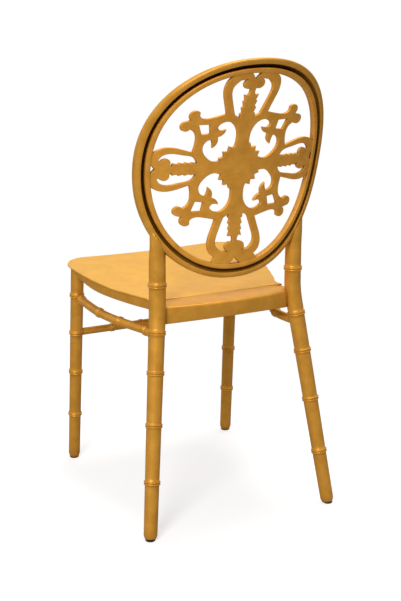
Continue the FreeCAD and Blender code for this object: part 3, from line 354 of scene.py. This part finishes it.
RIM_OUT, RIM_IN = -GROOVE, -0.013
SOFT = 0.0028
rim_profile = (
    corner(RIM_IN + SOFT, SOFT, SOFT, SOFT, math.pi, 5)
    + corner(RIM_OUT - SOFT, SOFT, SOFT, SOFT, -math.pi / 2, 5)
    + [(RIM_OUT, INSERT_SEAT - 0.0002), (RIM_OUT - 0.0003, INSERT_SEAT),
       (RIM_IN + 0.002, INSERT_SEAT), (RIM_IN, INSERT_SEAT - 0.0015)])
place(back_ring("insert_rim", rim_profile), [], "gold_insert", GOLD_INSERT)


# Pierced web of the insert. The outlines are one quarter of the motif in millimetres from
# its middle: a run of 2 points is a line, of 3 an arc, of 4 and more a smooth curve.

KIDNEY = [
    [(20, 20), (13.5, 39)],
    [(13.5, 39), (14, 65), (27, 82.5), (46, 83), (53, 75), (48, 69.5)],
    [(48, 69.5), (42, 69.7), (36.5, 71)],
    [(36.5, 71), (41, 62), (50.5, 57.3)],
    [(50.5, 57.3), (49.5, 50), (52, 43), (58, 37)],
    [(58, 37), (59, 46), (62, 53.5)],
    [(62, 53.5), (72, 49), (76.5, 38), (69, 22), (53, 11.5), (36.5, 13)],
    [(36.5, 13), (20, 20)],
]
WEDGE = [
    [(68.5, 81.5), (89, 81.5)],
    [(89, 81.5), (81.5, 63)],
    [(81.5, 63), (65.5, 65)],
    [(65.5, 65), (68.5, 81.5)],
]
FIELD = [
    [(164.5, 30.5), (152, 38.5), (130, 41), (105, 34.5), (93.5, 31)],
    [(93.5, 31), (90.3, 50), (94, 67), (104, 74.5)],
    [(104, 74.5), (120.5, 76.5), (113, 89)],
    [(113, 89), (104.5, 91)],
    [(104.5, 91), (106.3, 104), (90, 105)],
    [(90, 105), (89.5, 98), (80, 93), (66, 94), (41, 100)],
    [(41, 100), (48.5, 122), (54.5, 147), (48, 166), (41, 171.5)],
    [(41, 171.5), (60, 215)],
    [(60, 215), (215, 215)],
    [(215, 215), (205, 30.5)],
    [(205, 30.5), (164.5, 30.5)],
]
TOP_GAP = [[(0, 162), (7, 172), (17, 182)], [(17, 182), (-17, 182)],
           [(-17, 182), (-7, 172), (0, 162)]]
LOW_GAP = [[(0, -175), (7, -183), (17, -192)], [(17, -192), (-17, -192)],
           [(-17, -192), (-7, -183), (0, -175)]]
SIDE_GAP = [[(157.5, 1.5), (162, 7), (170, 13)], [(170, 13), (170, -10)],
            [(170, -10), (162, -4), (157.5, 1.5)]]
TALL_HEART = [
    [(14.5, 91.5), (14.5, 99)],
    [(14.5, 99), (11, 101)],
    [(11, 101), (14, 110)],
    [(14, 110), (10.5, 113)],
    [(10.5, 113), (13.5, 122)],
    [(13.5, 122), (10.5, 124)],
    [(10.5, 124), (13.5, 134.5)],
    [(13.5, 134.5), (8, 133)],
    [(8, 133), (4.5, 140), (6, 146)],
    [(6, 146), (20, 153), (14, 163.5)],
    [(14, 163.5), (21, 162), (28, 161)],
    [(28, 161), (39, 148), (36, 127), (28, 105), (25, 97.5)],
    [(25, 97.5), (14.5, 91.5)],
]
WIDE_HEART = [
    [(83.5, 10.5), (88, 18.5), (110, 26), (132, 29.5), (148, 24.5), (151.5, 20)],
    [(151.5, 20), (148.5, 16), (147.5, 17)],
    [(147.5, 17), (137, 20.5), (131, 9.5)],
    [(131, 9.5), (128, 5.5)],
    [(128, 5.5), (126, 11.5)],
    [(126, 11.5), (117, 9.5)],
    [(117, 9.5), (115, 12.5)],
    [(115, 12.5), (106, 10)],
    [(106, 10), (104, 12.5)],
    [(104, 12.5), (95, 10)],
    [(95, 10), (93, 12)],
    [(93, 12), (83.5, 10.5)],
]


def arc3(a, via, b, step=2.2):
    """Points from a to before b on the circle through three points."""
    (ax, ay), (vx, vy), (bx, by) = a, via, b
    d = 2 * (ax * (vy - by) + vx * (by - ay) + bx * (ay - vy))
    if abs(d) < 1e-9:
        return [a, via]
    sa, sv, sb = ax * ax + ay * ay, vx * vx + vy * vy, bx * bx + by * by
    cx = (sa * (vy - by) + sv * (by - ay) + sb * (ay - vy)) / d
    cy = (sa * (bx - vx) + sv * (ax - bx) + sb * (vx - ax)) / d
    radius = math.hypot(ax - cx, ay - cy)
    first, middle, last = (math.atan2(y - cy, x - cx) for x, y in (a, via, b))
    sweep = (last - first) % (2 * math.pi)
    if (middle - first) % (2 * math.pi) > sweep:
        sweep -= 2 * math.pi
    count = max(2, round(abs(sweep) * radius / step))
    return [(cx + radius * math.cos(first + sweep * i / count),
             cy + radius * math.sin(first + sweep * i / count)) for i in range(count)]


def smooth_run(points, step=2.2):
    """Points on a natural cubic spline through the given points, without the last."""
    p = np.array(points, float)
    gaps = np.sqrt((np.diff(p, axis=0) ** 2).sum(1))
    t = np.concatenate([[0], np.cumsum(gaps)])
    n = len(p)
    system, right = np.zeros((n, n)), np.zeros((n, 2))
    system[0, 0] = system[-1, -1] = 1
    for i in range(1, n - 1):
        system[i, i - 1], system[i, i + 1] = gaps[i - 1], gaps[i]
        system[i, i] = 2 * (gaps[i - 1] + gaps[i])
        right[i] = 6 * ((p[i + 1] - p[i]) / gaps[i] - (p[i] - p[i - 1]) / gaps[i - 1])
    bend = np.linalg.solve(system, right)
    made = []
    for i in range(n - 1):
        h = gaps[i]
        for w in np.linspace(0, 1, max(2, round(h / step)), endpoint=False):
            u = 1 - w
            q = (u * p[i] + w * p[i + 1]
                 + h * h / 6 * ((u ** 3 - u) * bend[i] + (w ** 3 - w) * bend[i + 1]))
            made.append((float(q[0]), float(q[1])))
    return made


def outline(runs):
    """Points round a closed chain of runs."""
    made = []
    for run in runs:
        if len(run) == 2:
            made.append(run[0])
        elif len(run) == 3:
            made += arc3(*run)
        else:
            made += smooth_run(run)
    return made


def oval_line(grow, count=320):
    """The grown oval as motif points, turning left."""
    points = (oval(grow, 2 * math.pi * i / count) for i in range(count))
    return [(x / MM, (z - HOOP_LEVEL - MOTIF) / MM) for x, z in points]


def clipped(points, fence):
    """The part of an outline that lies inside a rounded fence that turns left."""
    for (ax, ay), (bx, by) in zip(fence, fence[1:] + fence[:1]):
        kept = []
        for (px, py), (qx, qy) in zip(points, points[1:] + points[:1]):
            p = (bx - ax) * (py - ay) - (by - ay) * (px - ax)
            q = (bx - ax) * (qy - ay) - (by - ay) * (qx - ax)
            if p >= 0:
                kept.append((px, py))
            if (p < 0) != (q < 0):
                share = p / (p - q)
                kept.append((px + (qx - px) * share, py + (qy - py) * share))
        points = kept
    return points


def turned_left(points, left=True):
    """The outline in the order that turns left, or right if not left."""
    area = sum(ax * by - bx * ay for (ax, ay), (bx, by) in zip(points, points[1:] + points[:1]))
    return points if (area > 0) == left else points[::-1]


def spaced(points, least=0.35):
    """The outline without points that lie closer together than least."""
    made = []
    for point in points:
        if not made or math.dist(point, made[-1]) > least:
            made.append(point)
    return made[:-1] if math.dist(made[0], made[-1]) <= least else made


HOLE_EDGE = -0.0112
WEB_EDGE = -0.0070


def motif_holes():
    """All openings of the insert, cut off at its rim."""
    fence = oval_line(HOLE_EDGE)
    holes = []
    for fu, fv in ((1, 1), (-1, 1), (1, -1), (-1, -1)):
        for runs in (KIDNEY, WEDGE, FIELD, TALL_HEART, WIDE_HEART):
            holes.append([(u * fu, v * fv) for u, v in outline(runs)])
    for runs, fu in ((TOP_GAP, 1), (LOW_GAP, 1), (SIDE_GAP, 1), (SIDE_GAP, -1)):
        holes.append([(u * fu, v) for u, v in outline(runs)])
    return [turned_left(spaced(clipped(points, fence)), False) for points in holes]


def to_back(u, v, depth):
    """From the motif's plane to the back's rear face, in metres."""
    z = HOOP_LEVEL + MOTIF + v
    return u, back_y(u, z, depth), z


MESH_CELL = 0.007
WELD = 0.00002


def plate(name, outer, holes, near, far, bend=to_back, bevel=0.0011):
    """A pierced plate with eased edges between two depths, bent to a curved surface."""
    data = bpy.data.curves.new(name, "CURVE")
    data.dimensions = "2D"
    data.fill_mode = "BOTH"
    for points in [outer] + holes:
        spline = data.splines.new("POLY")
        spline.points.add(len(points) - 1)
        for point, (u, v) in zip(spline.points, points):
            point.co = (u * MM, v * MM, 0, 1)
        spline.use_cyclic_u = True
    data.extrude = (far - near) / 2 - bevel
    data.bevel_depth = bevel
    data.bevel_resolution = 2
    data.offset = -bevel
    source = bpy.data.objects.new(name + "_flat", data)
    bpy.context.collection.objects.link(source)
    bpy.context.view_layer.update()
    graph = bpy.context.evaluated_depsgraph_get()
    flat = bpy.data.meshes.new_from_object(source.evaluated_get(graph))
    bpy.data.objects.remove(source)
    work = bmesh.new()
    work.from_mesh(flat)
    bmesh.ops.remove_doubles(work, verts=work.verts, dist=WELD)
    low = [min(v.co[i] for v in work.verts) for i in (0, 1)]
    high = [max(v.co[i] for v in work.verts) for i in (0, 1)]
    for axis in (0, 1):
        steps = int((high[axis] - low[axis]) / MESH_CELL)
        for i in range(1, steps):
            spot, across = Vector((0, 0, 0)), Vector((0, 0, 0))
            spot[axis] = low[axis] + (high[axis] - low[axis]) * i / steps
            across[axis] = 1
            bmesh.ops.bisect_plane(work, geom=work.verts[:] + work.edges[:] + work.faces[:],
                                   dist=1e-6, plane_co=spot, plane_no=across)
    middle = (near + far) / 2
    for vertex in work.verts:
        vertex.co = bend(vertex.co[0], vertex.co[1], middle + vertex.co[2])
    bmesh.ops.recalc_face_normals(work, faces=work.faces)
    data = bpy.data.meshes.new(name)
    work.to_mesh(data)
    work.free()
    data.polygons.foreach_set("use_smooth", [True] * len(data.polygons))
    data.set_sharp_from_angle(angle=math.radians(50))
    made = bpy.data.objects.new(name, data)
    bpy.context.collection.objects.link(made)
    made.modifiers.new("even", "WEIGHTED_NORMAL").keep_sharp = True
    return made


place(plate("insert_web", oval_line(WEB_EDGE), motif_holes(), 0.0015, 0.010), ["back_panel"],
      "gold_insert", GOLD_INSERT)

TEETH = 20
star = []
for tooth in range(TEETH):
    for radius, degrees in ((45.5, 3), (38.5, 12)):
        turn = math.radians(360 / TEETH * tooth + degrees)
        star.append((radius * math.cos(turn), radius * math.sin(turn)))
place(plate("insert_rosette", star, [], 0.00145, 0.0101, bevel=0.0009), [], "gold_insert",
      GOLD_INSERT)


# Legs and stretchers: round bars with two beads at every ring. A bead point is its offset
# along the bar and its lift, in millimetres.

BEADS = ((-4.5, 0), (-3.9, 0.75), (-3.2, 1.7), (-2.2, 2.2), (-1.2, 1.75), (-0.5, 0.9), (0, 0.6),
         (0.5, 0.9), (1.2, 1.75), (2.2, 2.2), (3.2, 1.7), (3.9, 0.75), (4.5, 0))
RING_ROOM = 0.0055


def bar(name, line, width, length, rings, rise=1.0, spans=24, count=40, squash=None):
    """A bar round a line. line(d) gives its point, width(d) its radius, d in metres along it."""
    stops = {0.0, length}
    stops.update(length * i / spans for i in range(spans + 1))
    for ring in rings:
        stops = {d for d in stops if abs(d - ring) > RING_ROOM}
    lifts = {d: 0.0 for d in stops}
    for ring in rings:
        for offset, lift in BEADS:
            lifts[ring + offset * MM] = lift * MM * rise
    loops = []
    for d in sorted(lifts):
        if d < 0 or d > length:
            continue
        ahead = (line(d + 1e-4) - line(d - 1e-4)).normalized()
        guide = Vector((1, 0, 0)) if abs(ahead.x) < 0.9 else Vector((0, 0, 1))
        across = (guide - ahead * ahead.dot(guide)).normalized()
        other = ahead.cross(across)
        radius = width(d) + lifts[d]
        flat = squash(d) if squash else 1.0
        turns = [2 * math.pi * k / count for k in range(count)]
        loops.append([line(d) + across * (radius * math.cos(t))
                      + other * (radius * flat * math.sin(t)) for t in turns])
    made = mesh_object(name, *loop_strip(loops, closed=False, caps=True))
    tidy_normals(made)
    made.data.set_sharp_from_angle(angle=math.radians(60))
    return made


def blend_in(d, start, end):
    """A soft step from 0 at the start to 1 at the end."""
    share = min(1.0, max(0.0, (d - start) / (end - start)))
    return share * share * (3 - 2 * share)


# Leg sizes in metres. FOOT, HEAD and KNEE are points on the legs' axes, the rings and tops are
# heights, THIN and THICK are radii, and POST is the rear leg above its knee. GLIDE is how high
# the legs start, and HOOP_BED is where on the hoop's underside the rear legs end.

FRONT_FOOT, FRONT_HEAD = Vector((0.1833, -0.2364, 0)), Vector((0.1782, -0.2024, 0.4328))
REAR_FOOT, REAR_KNEE = Vector((0.194, 0.196, 0)), Vector((0.1435, 0.122, 0.432))
FRONT_RINGS = (0.1035, 0.201, 0.289, 0.3725)
REAR_RINGS = (0.108, 0.2145, 0.311, 0.385)
UPPER_RING = 0.475
GLIDE = 0.0035
FRONT_TOP, REAR_TOP = 0.4355, 0.5835
FRONT_THIN, FRONT_THICK = 0.012, 0.0135
REAR_THIN, REAR_THICK, POST_THICK = 0.013, 0.016, 0.0157
KNEE_TURN = 0.022
HOOP_BED = 0.0085
FLATTENED = 0.36


def foot_round(d):
    """How much narrower the leg is where its foot is rounded off."""
    return 0.0022 * (1 - math.sqrt(1 - (1 - min(1.0, d / 0.004)) ** 2))


def side_name(start, side):
    """The name of the left piece, at +x, or of the right one."""
    return start + ("left" if side > 0 else "right")


def front_leg(side):
    """A straight leg that widens upwards."""
    axis = FRONT_HEAD - FRONT_FOOT
    scale = axis.length / axis.z
    foot = FRONT_FOOT + axis * (GLIDE / axis.z)
    length = (FRONT_TOP - GLIDE) * scale

    def line(d):
        p = foot + axis.normalized() * d
        return Vector((p.x * side, p.y, p.z))

    def width(d):
        return FRONT_THIN + (FRONT_THICK - FRONT_THIN) * d / length - foot_round(d)

    return bar(side_name("front_leg_turned_", side), line, width, length,
               [(z - GLIDE) * scale for z in FRONT_RINGS], spans=60)


def hoop_underside(grow, x):
    """Height of the lower half of the grown oval at a distance from the middle."""
    low, high = -math.pi / 2, 0.0
    for _ in range(30):
        middle = (low + high) / 2
        low, high = (middle, high) if oval(grow, middle)[0] < x else (low, middle)
    return oval(grow, low)[1]


def rear_leg(side):
    """One piece from the floor to the hoop, bent at its knee and flattened upwards."""
    axis = REAR_KNEE - REAR_FOOT
    scale = axis.length / axis.z
    foot = REAR_FOOT + axis * (GLIDE / axis.z)
    knee = (REAR_KNEE - foot).length
    length = knee + REAR_TOP - REAR_KNEE.z
    low_way = axis.normalized()

    def line(d):
        if d < knee - KNEE_TURN:
            p = foot + low_way * d
        elif d > knee + KNEE_TURN:
            p = REAR_KNEE + Vector((0, 0, d - knee))
        else:
            a, b = REAR_KNEE - low_way * KNEE_TURN, REAR_KNEE + Vector((0, 0, KNEE_TURN))
            w = (d - knee + KNEE_TURN) / (2 * KNEE_TURN)
            p = a * (1 - w) ** 2 + REAR_KNEE * (2 * w * (1 - w)) + b * w ** 2
        p.y += 0.0032 * blend_in(d, knee + 0.085, length - 0.03)
        return Vector((p.x * side, p.y, p.z))

    def width(d):
        if d < knee:
            return REAR_THIN + (REAR_THICK - REAR_THIN) * d / knee - foot_round(d)
        return REAR_THICK - (REAR_THICK - POST_THICK) * blend_in(d, knee, knee + 0.08)

    def flat(d):
        return 1 - FLATTENED * blend_in(d, knee + 0.07, length - 0.02)

    rings = [(z - GLIDE) * scale for z in REAR_RINGS] + [knee + UPPER_RING - REAR_KNEE.z]
    made = bar(side_name("rear_leg_turned_", side), line, width, length, rings, spans=90,
               squash=flat)
    for vertex in made.data.vertices:
        vertex.co.z = min(vertex.co.z, hoop_underside(HOOP_BED, abs(vertex.co.x)))
    made.data.update()
    return made


# The side stretcher's level and route are in millimetres. Its rings are places along y, and
# the front stretcher's are shares of the half width between the legs.

STRETCHER_LEVEL = 369
STRETCHER = [(178.5, -204), (180, -150), (178.5, -82), (165, -12), (150, 33), (141, 64),
             (141.5, 95), (150, 131)]
STRETCHER_RINGS = (-0.178, -0.082, -0.010, 0.064)
STRETCHER_THICK, FRONT_STRETCHER_THICK = 0.0085, 0.0075
STRETCHER_RISE = 0.75
FRONT_STRETCHER_LEVEL = 0.2895
FRONT_STRETCHER_RINGS = (-0.56, -0.187, 0.187, 0.56)


def side_stretcher(side):
    """Level, bowed outwards at its middle and drawn in before the rear leg."""
    route = smooth_run(STRETCHER, 4) + [STRETCHER[-1]]
    path = [Vector((x, y, STRETCHER_LEVEL)) * MM for x, y in route]
    reach = [0.0]
    for a, b in zip(path, path[1:]):
        reach.append(reach[-1] + (b - a).length)

    def line(d):
        x, y, z = (float(np.interp(d, reach, [q[i] for q in path])) for i in range(3))
        return Vector((x * side, y, z))

    rings = [float(np.interp(y, [q.y for q in path], reach)) for y in STRETCHER_RINGS]
    return bar(side_name("side_stretcher_turned_", side), line, lambda d: STRETCHER_THICK,
               reach[-1], rings, STRETCHER_RISE, 60, 32)


def front_stretcher():
    """Straight between the front legs, its ends inside them."""
    axis = FRONT_HEAD - FRONT_FOOT
    core = FRONT_FOOT + axis * (FRONT_STRETCHER_LEVEL / axis.z)
    length = 2 * core.x - 0.010
    rings = [length / 2 + FRONT_HEAD.x * share for share in FRONT_STRETCHER_RINGS]
    return bar("front_stretcher_turned", lambda d: Vector((d - length / 2, core.y, core.z)),
               lambda d: FRONT_STRETCHER_THICK, length, rings, STRETCHER_RISE, 40, 32)


for side, word in ((1, "left"), (-1, "right")):
    place(front_leg(side), ["front_leg_" + word], "gold_resin", GOLD)
    place(rear_leg(side), ["rear_leg_" + word], "gold_resin", GOLD)
    place(side_stretcher(side), ["side_stretcher_" + word], "gold_resin", GOLD)
place(front_stretcher(), ["front_stretcher"], "gold_resin", GOLD)


# Seat: a thin hollowed board on its slope, in millimetres of its own plane

SLOPE = math.radians(2.3)
SEAT_LEVEL = 432.8
HOLLOW, HOLLOW_HALF = 5, 203.0
BOARD, BOARD_EDGE = 0.004, 0.0017
LIFT_FROM, LIFT = -40, 0.036
FIELD_TOP, FIELD_UNDER = -3, -13


def seat_point(x, y, z):
    """From millimetres in the seat's own plane to the chair's frame."""
    return Vector((x, y * math.cos(SLOPE) + z * math.sin(SLOPE),
                   SEAT_LEVEL - y * math.sin(SLOPE) + z * math.cos(SLOPE))) * MM


def seat_hollow(x):
    """Height of the round hollow, below 0 in the middle and 0 at HOLLOW_HALF."""
    reach = (HOLLOW_HALF ** 2 + HOLLOW ** 2) / (2 * HOLLOW)
    return reach - HOLLOW - math.sqrt(reach * reach - x * x)


def seat_side(inset=0.0):
    """The seat's left side in millimetres, from behind the front corner to the rear edge."""
    turns = (arc3((200, -188), (187.5, -85), (159.6, 10), 3)
             + arc3((159.6, 10), (151.5, 33), (143, 53), 3)
             + arc3((143, 53), (139.5, 67), (143, 82), 3) + [(143, 82)])
    return [(x - inset, y) for x, y in turns]


def seat_outline():
    """The whole seat's outline in millimetres."""
    right = arc3((142, -249.4), (182.5, -232.5), (200, -188), 3) + seat_side()
    return turned_left(right + [(-x, y) for x, y in reversed(right)])


def seat_lift(y):
    """How far the seat levels out towards its rear edge."""
    past = max(0.0, y - LIFT_FROM)
    return LIFT * past * min(1.0, past / 30)


def to_seat(x, y, depth):
    """From metres over the seat's plane to the chair's frame, hollow and all."""
    x, y = x / MM, y / MM
    share = min(1.0, max(0.35, (70 - y) / 90))
    return seat_point(x, y, seat_hollow(x) * share + seat_lift(y) - depth / MM)


place(plate("seat_board", seat_outline(), [], 0, BOARD, to_seat, BOARD_EDGE), ["seat_panel"],
      "gold_seat", LIT_GOLD_SEAT)


def seat_field():
    """The seat's thicker middle, seen from below."""
    right = [(150, -194), (150, -70), (105, 30), (105, 74)]
    edge = right + [(-x, y) for x, y in reversed(right)]
    under = [seat_point(x, y, FIELD_UNDER) for x, y in edge]
    top = [seat_point(x, y, seat_hollow(x) + FIELD_TOP) for x, y in edge]
    made = mesh_object("seat_field", *loop_strip([under, top], closed=False, caps=True), False)
    tidy_normals(made)
    return made


place(seat_field(), [], "gold_seat", LIT_GOLD_SEAT)


# Rails under the seat's sides, drawn in with its edge

APRON_THICK = 14
APRON_INSET = 3.5
APRON_END = [(140.5, 84), (145, 98), (147, 112)]


def apron_low(y):
    """Height of the side rail's lower edge in millimetres."""
    return 409.5 + 22 * (max(0.0, -y - 60) / 135) ** 2 + 0.02 * max(0.0, -y)


def apron_top(x, y):
    """Height of the side rail's top, under the seat's board, in millimetres."""
    drop = 4.2 if abs(x) < 150 else 2.2
    return seat_point(x, y, seat_lift(y) - drop).z / MM


def side_apron(side):
    """A rail that follows the seat's edge, up to the rear leg."""
    path = [point for point in seat_side(APRON_INSET) if point[1] < 74] + APRON_END
    rings = []
    for i, (x, y) in enumerate(path):
        a, b = path[max(0, i - 1)], path[min(len(path) - 1, i + 1)]
        span = math.dist(a, b)
        nx, ny = -(b[1] - a[1]) / span, (b[0] - a[0]) / span
        low, top = apron_low(y), apron_top(x, y)
        section = [(0, top), (0, low + 2), (0.6, low + 0.6), (2, low), (APRON_THICK - 2, low),
                   (APRON_THICK - 0.6, low + 0.6), (APRON_THICK, low + 2), (APRON_THICK, top)]
        rings.append([Vector(((x + nx * w) * side, y + ny * w, z)) * MM for w, z in section])
    made = mesh_object(side_name("side_apron_", side), *loop_strip(rings, closed=False, caps=True))
    tidy_normals(made)
    made.data.set_sharp_from_angle(angle=math.radians(40))
    return made


for side, word in ((1, "left"), (-1, "right")):
    place(side_apron(side), ["side_rail_" + word], "gold_resin", GOLD)


# Rear rail with its ledge behind the seat, in millimetres

RAIL_HALF = 130.5
RAIL_TOP = 431.5
RAIL_LOW, LOW_ARCH = 397, 4
RAIL_END, RAIL_BOW = 126.5, 14.5
LEDGE_FRONT, LEDGE_LOW = 82.1, 418
WALL_FRONT = 88
RAIL_SPANS = 48


def rear_rail():
    """A bowed wall under a ledge that reaches forward to the seat."""
    rings = []
    for i in range(RAIL_SPANS + 1):
        x = -RAIL_HALF + 2 * RAIL_HALF * i / RAIL_SPANS
        rear = RAIL_END + RAIL_BOW * (1 - (x / RAIL_HALF) ** 2)
        low = RAIL_LOW + LOW_ARCH * (1 - (x / 135.5) ** 2)
        section = [(WALL_FRONT, low + 1), (WALL_FRONT + 1, low)]
        section += corner(rear - 2.5, low + 2.5, 2.5, 2.5, -math.pi / 2, 4)
        section += corner(rear - 4.0, RAIL_TOP - 4.0, 4.0, 4.0, 0, 6)
        section += [(LEDGE_FRONT + 0.9, RAIL_TOP), (LEDGE_FRONT + 0.2, RAIL_TOP - 0.3),
                    (LEDGE_FRONT, RAIL_TOP - 0.9), (LEDGE_FRONT, LEDGE_LOW), (WALL_FRONT, LEDGE_LOW)]
        rings.append([Vector((x, y, z)) * MM for y, z in section])
    made = mesh_object("rear_rail_moulding", *loop_strip(rings, closed=False, caps=True))
    tidy_normals(made)
    made.data.set_sharp_from_angle(angle=math.radians(40))
    return made


place(rear_rail(), ["rear_rail"], "gold_resin", GOLD)


# Materials of the solid model's own pieces, by a word in their names

def plain(name, colour, roughness, metallic, marks):
    """A simple material with a fine procedural unevenness."""
    made = bpy.data.materials.new(name)
    made.use_nodes = True
    tree = made.node_tree
    shader = tree.nodes["Principled BSDF"]
    spot = node(tree, "ShaderNodeTexCoord").outputs["Object"]
    grain = node(tree, "ShaderNodeTexNoise", {"Vector": spot, "Scale": marks, "Detail": 3.0})
    low = tuple(0.86 * value for value in colour)
    tone = ramp(tree, grain.outputs["Fac"], [(0.35, low), (0.65, colour)])
    tree.links.new(tone, shader.inputs["Base Color"])
    shader.inputs["Roughness"].default_value = roughness
    shader.inputs["Metallic"].default_value = metallic
    return made


SMALL_PARTS = {
    "block": plain("block_resin", (0.42, 0.19, 0.025), 0.55, 0.0, 60.0),
    "bolt": plain("zinc_steel", (0.55, 0.55, 0.53), 0.35, 1.0, 300.0),
    "screw": plain("zinc_screw", (0.50, 0.50, 0.48), 0.38, 1.0, 300.0),
    "pin": plain("steel_pin", (0.45, 0.45, 0.44), 0.40, 1.0, 300.0),
    "insert": plain("insert_brass", (0.72, 0.50, 0.18), 0.34, 1.0, 200.0),
    "dowel": plain("dowel_wood", (0.62, 0.42, 0.22), 0.70, 0.0, 140.0),
    "glide": plain("glide_nylon", (0.05, 0.035, 0.02), 0.55, 0.0, 90.0),
}
for name, item in frame["nodes"].items():
    kind = next((word for word in SMALL_PARTS if word in name), None)
    item.data.materials.clear()
    item.data.materials.append(SMALL_PARTS[kind] if kind else GOLD)

scene = bpy.context.scene
scene.view_settings.view_transform = "Standard"
